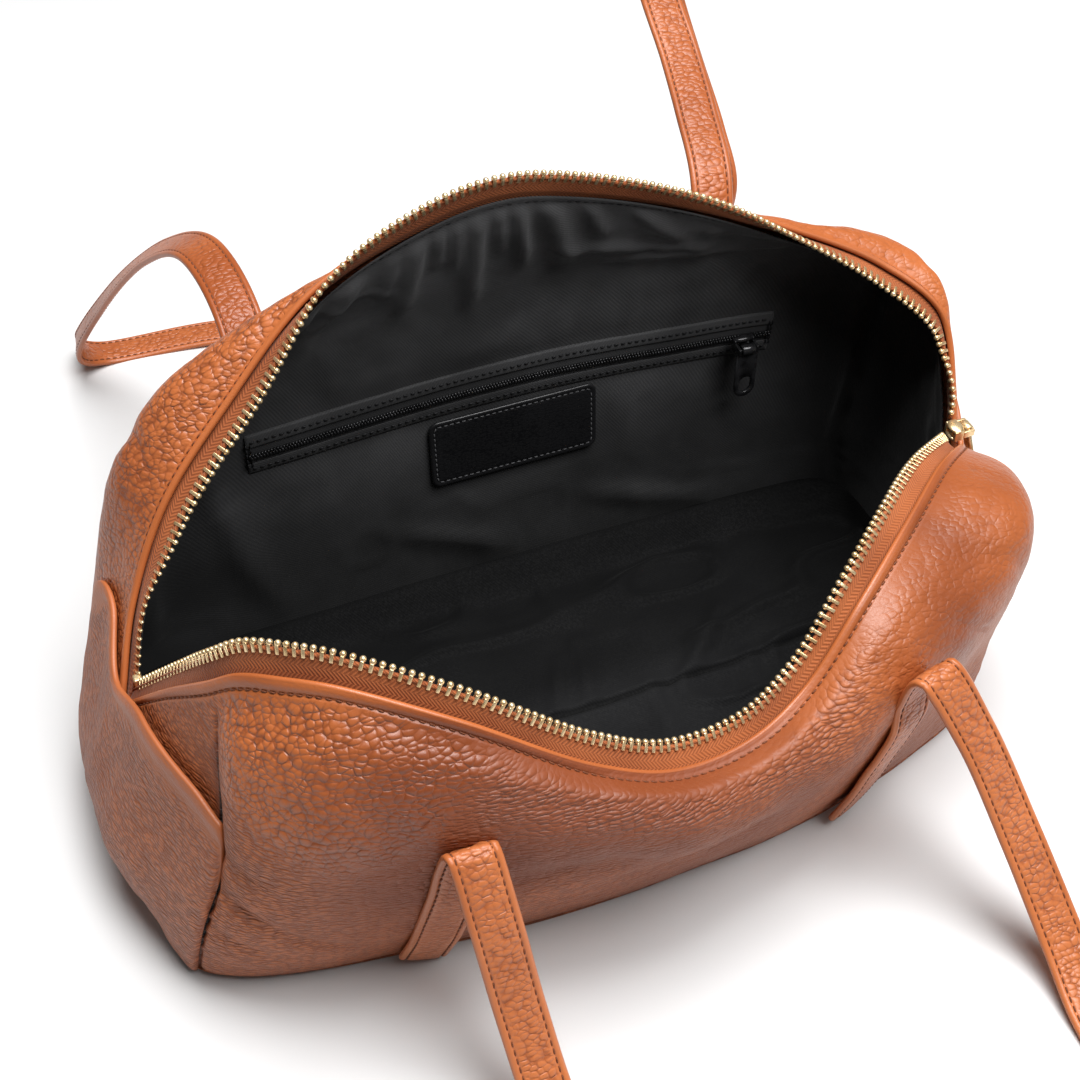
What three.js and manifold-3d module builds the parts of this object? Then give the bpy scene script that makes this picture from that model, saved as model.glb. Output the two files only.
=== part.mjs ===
// Shoulder bag, zip open, standing on its base with both handles laid down.
// Millimetres, +Z up, front towards -Y, origin on the floor under the middle of the base.
import * as THREE from 'three';
import { mergeVertices } from 'three/addons/utils/BufferGeometryUtils.js';
import Module from 'manifold-3d';

// Driving sizes
const LEATHER = 2.0;
const TAPE = 1.0;
const LINING = 1.0;
const GAP = 0.5;
const LINING_GAP = 1.0;
const BASE_THICKNESS = 2.4;
const FOOT_HEIGHT = 2.9;
const BASE_INSET = 1.0;
const SEAM_HALF_GAP = 0.25;
const GUSSET_CLEARANCE = 0.9;
const STRAP_WIDTH = 18;
const STRAP_THICKNESS = 3.2;
const STRAP_CLEARANCE = 1.3;
const BAND_FOOT = 7;
const BAND_TOP = 84;
const TAPE_BELOW_LIP = 6;
const TAPE_ABOVE_LIP = 5;
const LINING_BELOW_LIP = 1.5;
const TOOTH_PITCH = 3.1;
const TOOTH_REACH = 4.4;
const TOOTH_SPINE = 1.0;
const TOOTH_THICKNESS = 2.6;
const TAPE_STEPS = 3;
const TAPE_END = { left: 0, right: 0.35 };
const TOOTH_MARGIN = { start: 4.6, end: 1.5 };
const STRAP_ROWS = 66;
const BASE_LINING_INSET = 4.8;
const PANEL_STEPS = 7;
const BASE_POINTS = 26;
const LINING_STEPS = { front: 5, back: 7 };
const LINING_FOOT = 5.2;

// Section numbers where the two sewn bands stand on each wall
const BAND_SECTIONS = {
  front: { left: 6, right: 11 },
  back: { left: 3.7, right: 8.15 },
};

// Sections round the front wall, left end to right end. Each row gives the outer
// leather at four heights: foot, belly, shoulder and rim.
const FRONT_SECTIONS = [
  // footX, footY, bellyX, bellyY, bellyZ, shoulderX, shoulderY, shoulderZ, rimX, rimY, rimZ
  [-171, 0, -182, 0, 26, -175, 0, 54, -165, 0, 75],
  [-171, -28, -181, -30, 28, -166, -32, 68, -149, -27, 108],
  [-170, -57, -169, -62, 32, -152, -62, 76, -138, -46, 129],
  [-165, -71, -160, -78, 36, -144, -77, 82, -129, -56, 140],
  [-150, -80, -146, -89, 38, -131, -91, 88, -117, -68, 146],
  [-126, -87, -123, -99, 40, -112, -103, 98, -102, -80, 148],
  [-88, -93, -84, -107, 42, -75, -114, 94, -68, -98, 136],
  [-43, -98, -40, -113, 40, -34, -124, 82, -27, -109, 107],
  [-6, -99, -5, -114, 38, -3, -126, 74, 1, -111, 93],
  [21, -98, 22, -113, 37, 25, -122, 70, 31, -106, 89],
  [49, -97, 51, -110, 37, 56, -116, 72, 55, -96, 93],
  [84, -92, 87, -102, 40, 94, -104, 86, 83, -81, 113],
  [123, -82, 124, -90, 44, 131, -88, 92, 113, -58, 119],
  [157, -66, 155, -73, 50, 166, -62, 104, 141, -34, 115],
  [170, -28, 175, -30, 40, 182, -27, 89, 165, -15, 101],
  [171, 0, 179, 0, 34, 180, 0, 60, 177, 0, 82],
];

// Sections round the back wall, left end to right end
const BACK_SECTIONS = [
  // footX, footY, bellyX, bellyY, bellyZ, shoulderX, shoulderY, shoulderZ, rimX, rimY, rimZ
  [-171, 0, -182, 0, 26, -175, 0, 54, -165, 0, 75],
  [-171, 28, -180, 32, 24, -160, 32, 82, -153, 20, 100],
  [-164, 61, -167, 65, 24, -144, 58, 131, -132, 35, 130],
  [-123, 71, -127, 80, 48, -118, 70, 154, -104, 48, 155],
  [-70, 73, -69, 82, 55, -70, 79, 162, -66, 63, 185],
  [-25, 74, -25, 83, 55, -23, 84, 150, -24, 71, 199],
  [10, 74, 10, 83, 55, 10, 85, 150, 8, 73, 203],
  [45, 74, 43, 83, 55, 41, 85, 150, 38, 73, 197],
  [85, 73, 82, 82, 52, 82, 82, 150, 78, 69, 184],
  [125, 72, 127, 80, 48, 134, 77, 146, 124, 64, 162],
  [157, 68, 165, 74, 45, 172, 64, 141, 160, 50, 144],
  [168, 57, 177, 57, 44, 185, 44, 133, 181, 32, 126],
  [171, 28, 180, 30, 40, 185, 22, 92, 182, 14, 99],
  [171, 0, 179, 0, 34, 180, 0, 60, 177, 0, 82],
];

// Height of the gussets' free top edge, front corner to back corner
const LEFT_GUSSET_TOP = [86, 90, 90, 80, 95];
const RIGHT_GUSSET_TOP = [88, 84, 76, 86, 102];
const GUSSET_SECTIONS = {
  left: { front: [3, 0], back: [1 / 3, 4 / 3] },
  right: { front: [13 + 2 / 3, 15], back: [13 - 1 / 3, 11 + 1 / 3] },
};

// Inner pocket and label on the back wall
const POCKET = {
  from: 3.55, to: 8.95, leftHeight: 103, rightHeight: 99, arch: 4, gap: 1.0, tape: 10, coil: 2.6, coilDepth: 1.4,
};
const LABEL = { section: 6.14, height: 76.5, width: 73, tall: 33, thickness: 1.4, corner: 4, gap: 0.8 };

// Metal parts: slider body, its pin and the pull that hangs on it
const ZIP_SLIDER = {
  pin: [179.7, 0, 91.8], turn: 0, bodyLength: 5, bodyWidth: 8.2, bodyHeight: 6,
  pullWidth: 5, pullLength: 32, pullThickness: 1.8, lean: -0.3,
};
const POCKET_SLIDER = {
  section: 8.66, turn: -Math.PI / 2, bodyLength: 3.2, bodyWidth: 9.5, bodyHeight: 7,
  pullWidth: 6, pullLength: 26, pullThickness: 1.6, lean: 0,
};
const PIN_RADIUS = 0.9;
const EYE_HOLE = 1.3;
const EYE_RADIUS = 2.3;
const LUG_THICKNESS = 1.2;
const PIN_SIDE_GAP = 0.4;
const ZIP_STOP = { thick: 2.4, wide: 3.6, tall: 4, gap: 3 };

// Way of the free strap between its two bands, with the strap's width direction
const FRONT_STRAP_ROUTE = [
  // x, y, z, widthX, widthY, widthZ
  [-75, -120, 97, 1, 0.02, 0],
  [-73, -133, 78, 1, 0.05, 0],
  [-70, -150, 42, 1, 0.1, 0],
  [-67, -172, 12, 1, 0.12, 0],
  [-64, -205, 3, 1, 0.15, 0],
  [-57, -290, 2.2, 1, 0.1, 0],
  [-46, -385, 3, 0.95, 0.3, 0.1],
  [-15, -455, 7, 0.7, 0.5, 0.6],
  [34, -490, 10, 0, 0.3, 0.95],
  [83, -455, 7, -0.7, 0.5, 0.6],
  [112, -385, 3, -0.95, 0.3, 0.1],
  [121, -300, 2.2, -1, 0.1, 0],
  [124, -240, 2.2, -1, 0.0, 0],
  [125, -206, 3.4, -1, 0.0, 0],
  [126, -181, 14, -1, -0.05, 0],
  [119, -152, 45, -1, -0.2, 0],
  [108, -128, 80, -1, -0.3, 0],
  [97, -113, 101, -1, -0.2, 0],
];
const BACK_STRAP_ROUTE = [
  // x, y, z, widthX, widthY, widthZ
  [-87, 93, 112, 1, 0.05, 0],
  [-84, 112, 137, 0.98, 0.15, 0.1],
  [-88, 160, 141, 0.9, 0.35, 0.1],
  [-101, 205, 113, 0.75, 0.6, 0.1],
  [-122, 250, 62, 0.5, 0.8, 0.2],
  [-138, 280, 14, 0.15, 0.98, 0],
  [-128, 287, 2.2, 0, 1, 0],
  [-66, 281, 2.2, 0.1, 1, 0],
  [-8, 258, 2.4, 0.35, 1, 0],
  [52, 227, 8, 0.3, 1, 0],
  [106, 194, 36, -0.3, 0.9, 0.2],
  [138, 172, 74, -0.8, 0.55, 0.2],
  [149, 168, 105, -1, 0.1, 0],
  [149, 184, 127, -1, 0, 0],
  [146, 205, 151, -1, 0, 0],
  [141, 218, 175, -1, 0, 0],
  [136, 216, 188, -1, 0, 0],
  [131, 203, 188, -1, 0, 0],
  [127, 170, 175, -1, 0, 0],
  [122, 144, 167, -1, 0, 0],
  [115, 112, 154, -1, 0, 0],
  [107, 94, 122, -1, 0, 0],
];

// Colours of the leather, cloth and metal
const leather = () => new THREE.MeshStandardMaterial({ color: 0xb0602f, roughness: 0.55, metalness: 0 });
const tapeCloth = () => new THREE.MeshStandardMaterial({ color: 0xa5552b, roughness: 0.85, metalness: 0 });
const blackCloth = () => new THREE.MeshStandardMaterial({ color: 0x17171a, roughness: 0.8, metalness: 0 });
const blackLeather = () => new THREE.MeshStandardMaterial({ color: 0x0d0d0e, roughness: 0.45, metalness: 0 });
const blackMetal = () => new THREE.MeshStandardMaterial({ color: 0x101012, roughness: 0.35, metalness: 0.6 });
const brass = () => new THREE.MeshStandardMaterial({ color: 0xd9b15f, roughness: 0.28, metalness: 1 });

// A wall is four smooth curves round the bag, joined at any place by a smooth profile
function makeWall(rows, side) {
  const column = (take) => new THREE.CatmullRomCurve3(rows.map(take), false, 'centripetal');
  const shifted = (y) => (y === 0 ? side * SEAM_HALF_GAP : y);
  return {
    side,
    last: rows.length - 1,
    foot: column(([x, y]) => new THREE.Vector3(x, shifted(y), FOOT_HEIGHT)),
    belly: column((r) => new THREE.Vector3(r[2], shifted(r[3]), r[4])),
    shoulder: column((r) => new THREE.Vector3(r[5], shifted(r[6]), r[7])),
    rim: column((r) => new THREE.Vector3(r[8], shifted(r[9]), r[10])),
  };
}

function profileAt(wall, section) {
  const t = section / wall.last;
  const points = [wall.foot, wall.belly, wall.shoulder, wall.rim].map((curve) => curve.getPoint(t));
  return new THREE.CatmullRomCurve3(points, false, 'centripetal');
}

function skinPoint(wall, section, up) {
  return profileAt(wall, section).getPoint(up);
}

// Outward direction of the leather at one place
function skinNormal(wall, section, up) {
  const step = 0.02;
  const before = Math.max(0, section - step);
  const after = Math.min(wall.last, section + step);
  const low = Math.max(0, up - step);
  const high = Math.min(1, up + step);
  const along = skinPoint(wall, after, up).sub(skinPoint(wall, before, up));
  const rise = skinPoint(wall, section, high).sub(skinPoint(wall, section, low));
  const normal = along.cross(rise).multiplyScalar(-wall.side);
  const atSeam = section === 0 || section === wall.last;
  return normal.setY(atSeam ? 0 : normal.y).normalize();
}

// A place inside (positive depth) or outside (negative depth) of the outer leather
function wallPoint(wall, section, up, depth) {
  const normal = skinNormal(wall, section, up);
  return skinPoint(wall, section, up).addScaledVector(normal, -depth);
}

// A place above the lip, following the way the leather points there
function abovePoint(wall, section, rise, depth) {
  const profile = profileAt(wall, section);
  const direction = profile.getPoint(1).sub(profile.getPoint(0.9)).normalize();
  return wallPoint(wall, section, 1, depth).addScaledVector(direction, rise);
}

// Profile position at a length below the lip, and at a height above the floor
function upBelowLip(wall, section, length) {
  return 1 - length / profileAt(wall, section).getLength();
}

function upAtHeight(wall, section, height) {
  const profile = profileAt(wall, section);
  let low = 0;
  let high = 1;
  for (let round = 0; round < 24; round += 1) {
    const middle = (low + high) / 2;
    if (profile.getPoint(middle).z < height) {
      low = middle;
    } else {
      high = middle;
    }
  }
  return (low + high) / 2;
}

// A closed solid from two matching grids of points
function solidFromGrids(top, bottom) {
  const columns = top.length;
  const rows = top[0].length;
  const positions = [];
  [top, bottom].forEach((grid) => grid.forEach((line) => line.forEach((p) => positions.push(p.x, p.y, p.z))));
  const index = [];
  const id = (layer, i, j) => layer * columns * rows + i * rows + j;
  const quad = (a, b, c, d) => index.push(a, b, c, a, c, d);
  for (let i = 0; i < columns - 1; i += 1) {
    for (let j = 0; j < rows - 1; j += 1) {
      quad(id(0, i, j), id(0, i + 1, j), id(0, i + 1, j + 1), id(0, i, j + 1));
      quad(id(1, i, j), id(1, i, j + 1), id(1, i + 1, j + 1), id(1, i + 1, j));
    }
  }
  for (let i = 0; i < columns - 1; i += 1) {
    quad(id(0, i, 0), id(1, i, 0), id(1, i + 1, 0), id(0, i + 1, 0));
    quad(id(0, i, rows - 1), id(0, i + 1, rows - 1), id(1, i + 1, rows - 1), id(1, i, rows - 1));
  }
  for (let j = 0; j < rows - 1; j += 1) {
    quad(id(0, 0, j), id(0, 0, j + 1), id(1, 0, j + 1), id(1, 0, j));
    quad(id(0, columns - 1, j), id(1, columns - 1, j), id(1, columns - 1, j + 1), id(0, columns - 1, j + 1));
  }
  return closedGeometry(positions, index);
}

// A closed solid from a row of equal rings, capped at both ends
function solidFromRings(rings) {
  const count = rings[0].length;
  const positions = rings.flat().flatMap((p) => [p.x, p.y, p.z]);
  const index = [];
  for (let i = 0; i < rings.length - 1; i += 1) {
    for (let k = 0; k < count; k += 1) {
      const next = (k + 1) % count;
      const a = i * count + k;
      const b = i * count + next;
      index.push(a, b, b + count, a, b + count, a + count);
    }
  }
  const end = (rings.length - 1) * count;
  for (let k = 1; k < count - 1; k += 1) {
    index.push(0, k + 1, k);
    index.push(end, end + k, end + k + 1);
  }
  return closedGeometry(positions, index);
}

// Turns the faces outward by the sign of the enclosed volume
function closedGeometry(positions, index) {
  let volume = 0;
  const corner = (n) => new THREE.Vector3(positions[3 * n], positions[3 * n + 1], positions[3 * n + 2]);
  for (let n = 0; n < index.length; n += 3) {
    volume += corner(index[n]).dot(corner(index[n + 1]).cross(corner(index[n + 2])));
  }
  const faces = index.slice();
  if (volume < 0) {
    for (let n = 0; n < faces.length; n += 3) {
      [faces[n + 1], faces[n + 2]] = [faces[n + 2], faces[n + 1]];
    }
  }
  const geometry = new THREE.BufferGeometry();
  geometry.setAttribute('position', new THREE.Float32BufferAttribute(positions, 3));
  geometry.setIndex(faces);
  geometry.computeVertexNormals();
  return geometry;
}

const spread = (from, to, count) => Array.from({ length: count }, (_, n) => from + ((to - from) * n) / (count - 1));

// Sheet of leather or cloth over a wall, with its rows chosen at each section
function wallSheet(wall, sections, rowsAt, depth, thickness) {
  const grid = (d) => sections.map((s) => rowsAt(s).map((up) => wallPoint(wall, s, up, d)));
  return solidFromGrids(grid(depth), grid(depth + thickness));
}

const group = new THREE.Group();
group.name = 'shoulder_bag';

function add(name, geometry, material) {
  const mesh = new THREE.Mesh(geometry, material);
  mesh.name = name;
  group.add(mesh);
  return mesh;
}

const front = makeWall(FRONT_SECTIONS, -1);
const back = makeWall(BACK_SECTIONS, 1);
const sectionsOf = (wall, perRow) => spread(0, wall.last, wall.last * perRow + 1);

// Leather walls and their lining
const liningDepth = LEATHER + GAP + TAPE + LINING_GAP;
[['front', front], ['back', back]].forEach(([name, wall]) => {
  const panelRows = () => spread(0, 1, PANEL_STEPS + 1);
  const liningRows = (s) => [
    ...spread(upAtHeight(wall, s, LINING_FOOT), upBelowLip(wall, s, TAPE_BELOW_LIP), LINING_STEPS[name]),
    upBelowLip(wall, s, LINING_BELOW_LIP),
  ];
  add(`${name}_panel`, wallSheet(wall, sectionsOf(wall, 3), panelRows, 0, LEATHER), leather());
  add(`lining_${name}`, wallSheet(wall, sectionsOf(wall, 2), liningRows, liningDepth, LINING), blackCloth());
});

// Base and its lining, outlined by the feet of both walls
function baseOutline(inset) {
  const points = [];
  spread(0, front.last, BASE_POINTS).forEach((s) => points.push(skinPoint(front, s, 0)));
  spread(back.last, 0, BASE_POINTS).forEach((s) => points.push(skinPoint(back, s, 0)));
  const ring = points.map((p) => new THREE.Vector2(p.x, p.y));
  return ring.map((p, n) => {
    const before = ring[(n + ring.length - 2) % ring.length];
    const after = ring[(n + 2) % ring.length];
    const along = after.clone().sub(before).normalize();
    return new THREE.Vector2(p.x - along.y * inset, p.y + along.x * inset);
  });
}

function basePlate(inset, from, thickness) {
  const shape = new THREE.Shape(baseOutline(inset));
  const plate = new THREE.ExtrudeGeometry(shape, { depth: thickness, bevelEnabled: false, steps: 1 });
  return plate.translate(0, 0, from);
}

add('base_panel', basePlate(BASE_INSET, 0, BASE_THICKNESS), leather());
add('lining_base', basePlate(BASE_LINING_INSET, BASE_THICKNESS + 1.2, LINING), blackCloth());

// End gussets lie over the walls from corner to corner. Their lower rows keep step with
// the wall's own rows, so the free top edge stays above the fourth of them.
const gussetRows = (top) => [...spread(0, 4 / PANEL_STEPS, 5), ...spread(4 / PANEL_STEPS, top, 3).slice(1)];

function gusset(ranges, tops) {
  const steps = ([from, to]) => spread(from, to, Math.round(Math.abs(to - from) * 3) + 1);
  const places = [
    ...steps(ranges.front).map((s) => [front, s]),
    ...steps(ranges.back).map((s) => [back, s]),
  ];
  const topAt = (n) => {
    const t = (n / (places.length - 1)) * (tops.length - 1);
    const low = Math.min(Math.floor(t), tops.length - 2);
    return tops[low] + (tops[low + 1] - tops[low]) * (t - low);
  };
  const grid = (depth) => places.map(([wall, s], n) => {
    const top = upAtHeight(wall, s, topAt(n));
    return gussetRows(top).map((up) => wallPoint(wall, s, up, depth));
  });
  return solidFromGrids(grid(-GUSSET_CLEARANCE - LEATHER), grid(-GUSSET_CLEARANCE));
}

add('left_gusset', gusset(GUSSET_SECTIONS.left, LEFT_GUSSET_TOP), leather());
add('right_gusset', gusset(GUSSET_SECTIONS.right, RIGHT_GUSSET_TOP), leather());

// Zip tape: a ribbon from inside the lip to above it
const tapeSections = (wall) => spread(TAPE_END.left, wall.last - TAPE_END.right, wall.last * TAPE_STEPS);

function zipTape(wall) {
  const depth = LEATHER + GAP;
  const line = (s, d) => [
    wallPoint(wall, s, upBelowLip(wall, s, TAPE_BELOW_LIP), d),
    wallPoint(wall, s, 1, d),
    abovePoint(wall, s, TAPE_ABOVE_LIP, d),
  ];
  const grid = (d) => tapeSections(wall).map((s) => line(s, d));
  return solidFromGrids(grid(depth), grid(depth + TAPE));
}

// Zip teeth: a spine along the tape's edge with a tooth at every second ring
function zipTeeth(wall) {
  const middle = LEATHER + GAP + TAPE / 2;
  const start = TAPE_ABOVE_LIP + GAP;
  const edge = (rise, depth) => tapeSections(wall).map((s) => abovePoint(wall, s, rise, depth));
  const lines = [
    edge(start, middle - TOOTH_THICKNESS / 2),
    edge(start, middle + TOOTH_THICKNESS / 2),
    edge(start + TOOTH_SPINE, middle),
    edge(start + TOOTH_REACH, middle),
  ];
  const lengths = [0];
  lines[2].slice(1).forEach((p, n) => lengths.push(lengths[n] + p.distanceTo(lines[2][n])));
  const from = TOOTH_MARGIN.start;
  const to = lengths[lengths.length - 1] - TOOTH_MARGIN.end;
  const count = 2 * Math.round((to - from) / TOOTH_PITCH) + 1;
  let k = 0;
  const rings = spread(from, to, count).map((wanted, n) => {
    while (k < lengths.length - 2 && lengths[k + 1] < wanted) {
      k += 1;
    }
    const t = (wanted - lengths[k]) / (lengths[k + 1] - lengths[k]);
    const between = (line) => line[k].clone().lerp(line[k + 1], t);
    return [between(lines[0]), between(lines[1]), between(n % 2 === 0 ? lines[2] : lines[3])];
  });
  return solidFromRings(rings);
}

[['front', front], ['back', back]].forEach(([name, wall]) => {
  add(`${name}_zip_tape`, zipTape(wall), tapeCloth());
  add(`${name}_zip_teeth`, zipTeeth(wall), brass());
});

// Handles: sewn band, free strap, sewn band
function handle(wall, bands, route) {
  const middle = -STRAP_CLEARANCE - STRAP_THICKNESS / 2;
  const sideways = (s) => skinPoint(wall, s + 0.05, 0.5).sub(skinPoint(wall, s - 0.05, 0.5)).normalize();
  const bandRows = (s, sign) => spread(BAND_FOOT, BAND_TOP, 7).map((height) => ({
    place: wallPoint(wall, s, upAtHeight(wall, s, height), middle),
    width: sideways(s).multiplyScalar(sign),
  }));
  const routeRows = route.map(([x, y, z, wx, wy, wz]) => ({
    place: new THREE.Vector3(x, y, z),
    width: new THREE.Vector3(wx, wy, wz),
  }));
  const rows = [...bandRows(bands.left, 1), ...routeRows, ...bandRows(bands.right, -1).reverse()];
  const path = new THREE.CatmullRomCurve3(rows.map((row) => row.place), false, 'centripetal');
  const turn = new THREE.CatmullRomCurve3(rows.map((row) => row.width), false, 'catmullrom', 0.5);
  const rings = spread(0, 1, STRAP_ROWS).map((t) => {
    const at = path.getUtoTmapping(t);
    const centre = path.getPoint(at);
    const along = path.getTangent(at);
    const width = turn.getPoint(at);
    width.addScaledVector(along, -width.dot(along)).setLength(STRAP_WIDTH / 2);
    const thick = along.clone().cross(width).setLength(STRAP_THICKNESS / 2);
    const corner = (a, b) => centre.clone().addScaledVector(width, a).addScaledVector(thick, b);
    return [corner(1, 1), corner(-1, 1), corner(-1, -1), corner(1, -1)];
  });
  return solidFromRings(rings);
}

add('front_handle', handle(front, BAND_SECTIONS.front, FRONT_STRAP_ROUTE), leather());
add('back_handle', handle(back, BAND_SECTIONS.back, BACK_STRAP_ROUTE), leather());

// Inner pocket: a tape strip and its coil on the back lining
const liningFace = liningDepth + LINING;

function pocketHeight(section) {
  const t = (section - POCKET.from) / (POCKET.to - POCKET.from);
  const straight = POCKET.leftHeight + (POCKET.rightHeight - POCKET.leftHeight) * t;
  return straight + POCKET.arch * 4 * t * (1 - t);
}

function pocketStrip(tall, depth, thickness) {
  const sections = spread(POCKET.from, POCKET.to, 20);
  const grid = (d) => sections.map((s) => [-0.5, 0.5].map((k) => {
    const up = upAtHeight(back, s, pocketHeight(s) + k * tall);
    return wallPoint(back, s, up, d);
  }));
  return solidFromGrids(grid(depth), grid(depth + thickness));
}

const pocketTapeFace = liningFace + POCKET.gap + TAPE;
const pocketCoilFace = pocketTapeFace + GAP + POCKET.coilDepth;
add('pocket_tape', pocketStrip(POCKET.tape, pocketTapeFace - TAPE, TAPE), blackCloth());
add('pocket_coil', pocketStrip(POCKET.coil, pocketTapeFace + GAP, POCKET.coilDepth), blackMetal());

// Bare label patch on the back lining
function labelPatch() {
  const { width, tall, corner, thickness } = LABEL;
  const shape = new THREE.Shape();
  const right = width / 2 - corner;
  const top = tall / 2 - corner;
  shape.absarc(right, top, corner, 0, Math.PI / 2);
  shape.absarc(-right, top, corner, Math.PI / 2, Math.PI);
  shape.absarc(-right, -top, corner, Math.PI, 1.5 * Math.PI);
  shape.absarc(right, -top, corner, 1.5 * Math.PI, 2 * Math.PI);
  const patch = new THREE.ExtrudeGeometry(shape, { depth: thickness, bevelEnabled: false, curveSegments: 4 });
  const depth = liningFace + LABEL.gap;
  const at = (height) => wallPoint(back, LABEL.section, upAtHeight(back, LABEL.section, height), depth);
  const low = at(LABEL.height - tall / 2);
  const high = at(LABEL.height + tall / 2);
  const lean = Math.atan2(high.y - low.y, high.z - low.z);
  const centre = low.add(high).multiplyScalar(0.5);
  return patch.rotateX(Math.PI / 2 - lean).translate(centre.x, centre.y, centre.z);
}

add('label', labelPatch(), blackLeather());

// Joins solids that touch into one
const toolkit = await Module();
toolkit.setup();

function toManifold(geometry) {
  const bare = new THREE.BufferGeometry();
  bare.setAttribute('position', geometry.attributes.position);
  bare.setIndex(geometry.index);
  const plain = mergeVertices(bare, 1e-4);
  return new toolkit.Manifold(new toolkit.Mesh({
    numProp: 3,
    vertProperties: new Float32Array(plain.attributes.position.array),
    triVerts: new Uint32Array(plain.index.array),
  }));
}

function join(...geometries) {
  const mesh = geometries.map(toManifold).reduce((all, next) => all.add(next)).getMesh();
  const joined = new THREE.BufferGeometry();
  joined.setAttribute('position', new THREE.Float32BufferAttribute(mesh.vertProperties, 3));
  joined.setIndex(Array.from(mesh.triVerts));
  joined.computeVertexNormals();
  return joined;
}

// Slider with the pin at its own origin, pin along Y, nose towards +X
function sliderBody(size) {
  const { bodyLength, bodyWidth, bodyHeight, pullWidth } = size;
  const inner = pullWidth / 2 + PIN_SIDE_GAP;
  const reach = EYE_RADIUS + 0.6;
  const body = new THREE.BoxGeometry(bodyLength, bodyWidth, bodyHeight).translate(-reach - bodyLength / 2, 0, 0);
  const lugLength = reach + PIN_RADIUS + 1.4;
  const lug = (side) => new THREE.BoxGeometry(lugLength, LUG_THICKNESS, 2 * PIN_RADIUS + 1.4)
    .translate(PIN_RADIUS + 0.6 - lugLength / 2, side * (inner + LUG_THICKNESS / 2), 0);
  const pin = new THREE.CylinderGeometry(PIN_RADIUS, PIN_RADIUS, 2 * inner + LUG_THICKNESS, 12);
  return join(body, lug(-1), lug(1), pin);
}

// Pull: an eye round the pin and a flat round-ended tab below it
function sliderPull(size) {
  const { pullWidth, pullLength, pullThickness, lean } = size;
  const half = pullWidth / 2;
  const eyeMiddle = (EYE_RADIUS + EYE_HOLE) / 2;
  const ring = new THREE.Shape().absarc(0, 0, EYE_RADIUS, 0, 2 * Math.PI);
  ring.holes.push(new THREE.Path().absarc(0, 0, EYE_HOLE, 0, 2 * Math.PI, true));
  const eye = new THREE.ExtrudeGeometry(ring, { depth: pullWidth, bevelEnabled: false, curveSegments: 8 })
    .translate(0, 0, -half)
    .rotateX(Math.PI / 2);
  const outline = new THREE.Shape();
  outline.moveTo(half, -eyeMiddle);
  outline.lineTo(-half, -eyeMiddle);
  outline.absarc(0, half - pullLength, half, Math.PI, 2 * Math.PI);
  const tab = new THREE.ExtrudeGeometry(outline, { depth: pullThickness, bevelEnabled: false, curveSegments: 6 })
    .translate(0, 0, -pullThickness / 2)
    .rotateX(Math.PI / 2)
    .rotateZ(Math.PI / 2);
  return join(eye, tab).rotateY(lean);
}

function place(geometry, position, turn) {
  return geometry.rotateZ(turn).translate(position.x, position.y, position.z);
}

const zipPin = new THREE.Vector3(...ZIP_SLIDER.pin);
add('zip_slider', place(sliderBody(ZIP_SLIDER), zipPin, ZIP_SLIDER.turn), brass());
add('zip_pull', place(sliderPull(ZIP_SLIDER), zipPin, ZIP_SLIDER.turn), brass());

const pocketUp = upAtHeight(back, POCKET_SLIDER.section, pocketHeight(POCKET_SLIDER.section));
const pocketStand = pocketCoilFace + GAP + POCKET_SLIDER.bodyLength + EYE_RADIUS + 0.6;
const pocketPin = wallPoint(back, POCKET_SLIDER.section, pocketUp, pocketStand);
add('pocket_slider', place(sliderBody(POCKET_SLIDER), pocketPin, POCKET_SLIDER.turn), blackMetal());
add('pocket_pull', place(sliderPull(POCKET_SLIDER), pocketPin, POCKET_SLIDER.turn), blackMetal());

// Stop where the two tooth rows meet
const stopRise = TAPE_ABOVE_LIP + ZIP_STOP.gap + ZIP_STOP.tall / 2;
const stopPlace = abovePoint(front, 0, stopRise, LEATHER + GAP + TAPE / 2);
const stopFoot = abovePoint(front, 0, 0, LEATHER + GAP + TAPE / 2);
const stopLean = Math.atan2(stopPlace.x - stopFoot.x, stopPlace.z - stopFoot.z);
const stop = new THREE.BoxGeometry(ZIP_STOP.thick, ZIP_STOP.wide, ZIP_STOP.tall).rotateY(stopLean);
add('zip_stop', stop.translate(stopPlace.x, 0, stopPlace.z), brass());

export default group;
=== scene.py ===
"""Shoulder bag of pebbled tan leather with an open brass zip and a black twill lining.

Every shape is worked out in millimetres on the same wall curves as the solid model,
and turned into metres when its mesh is made.
"""
import math

import bmesh
import bpy
import numpy as np
from mathutils import Matrix, Vector


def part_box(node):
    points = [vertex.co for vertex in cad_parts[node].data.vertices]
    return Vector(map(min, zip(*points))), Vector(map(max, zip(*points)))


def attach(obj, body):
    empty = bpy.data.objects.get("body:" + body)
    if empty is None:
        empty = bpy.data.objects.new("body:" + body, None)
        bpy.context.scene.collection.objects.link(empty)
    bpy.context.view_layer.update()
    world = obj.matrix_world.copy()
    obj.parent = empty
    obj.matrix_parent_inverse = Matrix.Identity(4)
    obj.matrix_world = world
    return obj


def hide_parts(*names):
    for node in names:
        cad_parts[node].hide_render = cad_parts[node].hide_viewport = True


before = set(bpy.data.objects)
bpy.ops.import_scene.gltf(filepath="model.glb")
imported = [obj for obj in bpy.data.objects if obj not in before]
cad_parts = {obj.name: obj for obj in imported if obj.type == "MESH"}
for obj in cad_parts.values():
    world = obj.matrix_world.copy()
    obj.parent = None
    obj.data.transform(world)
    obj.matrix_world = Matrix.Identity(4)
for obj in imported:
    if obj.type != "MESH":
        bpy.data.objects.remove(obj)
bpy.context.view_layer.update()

MM = 0.001

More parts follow.
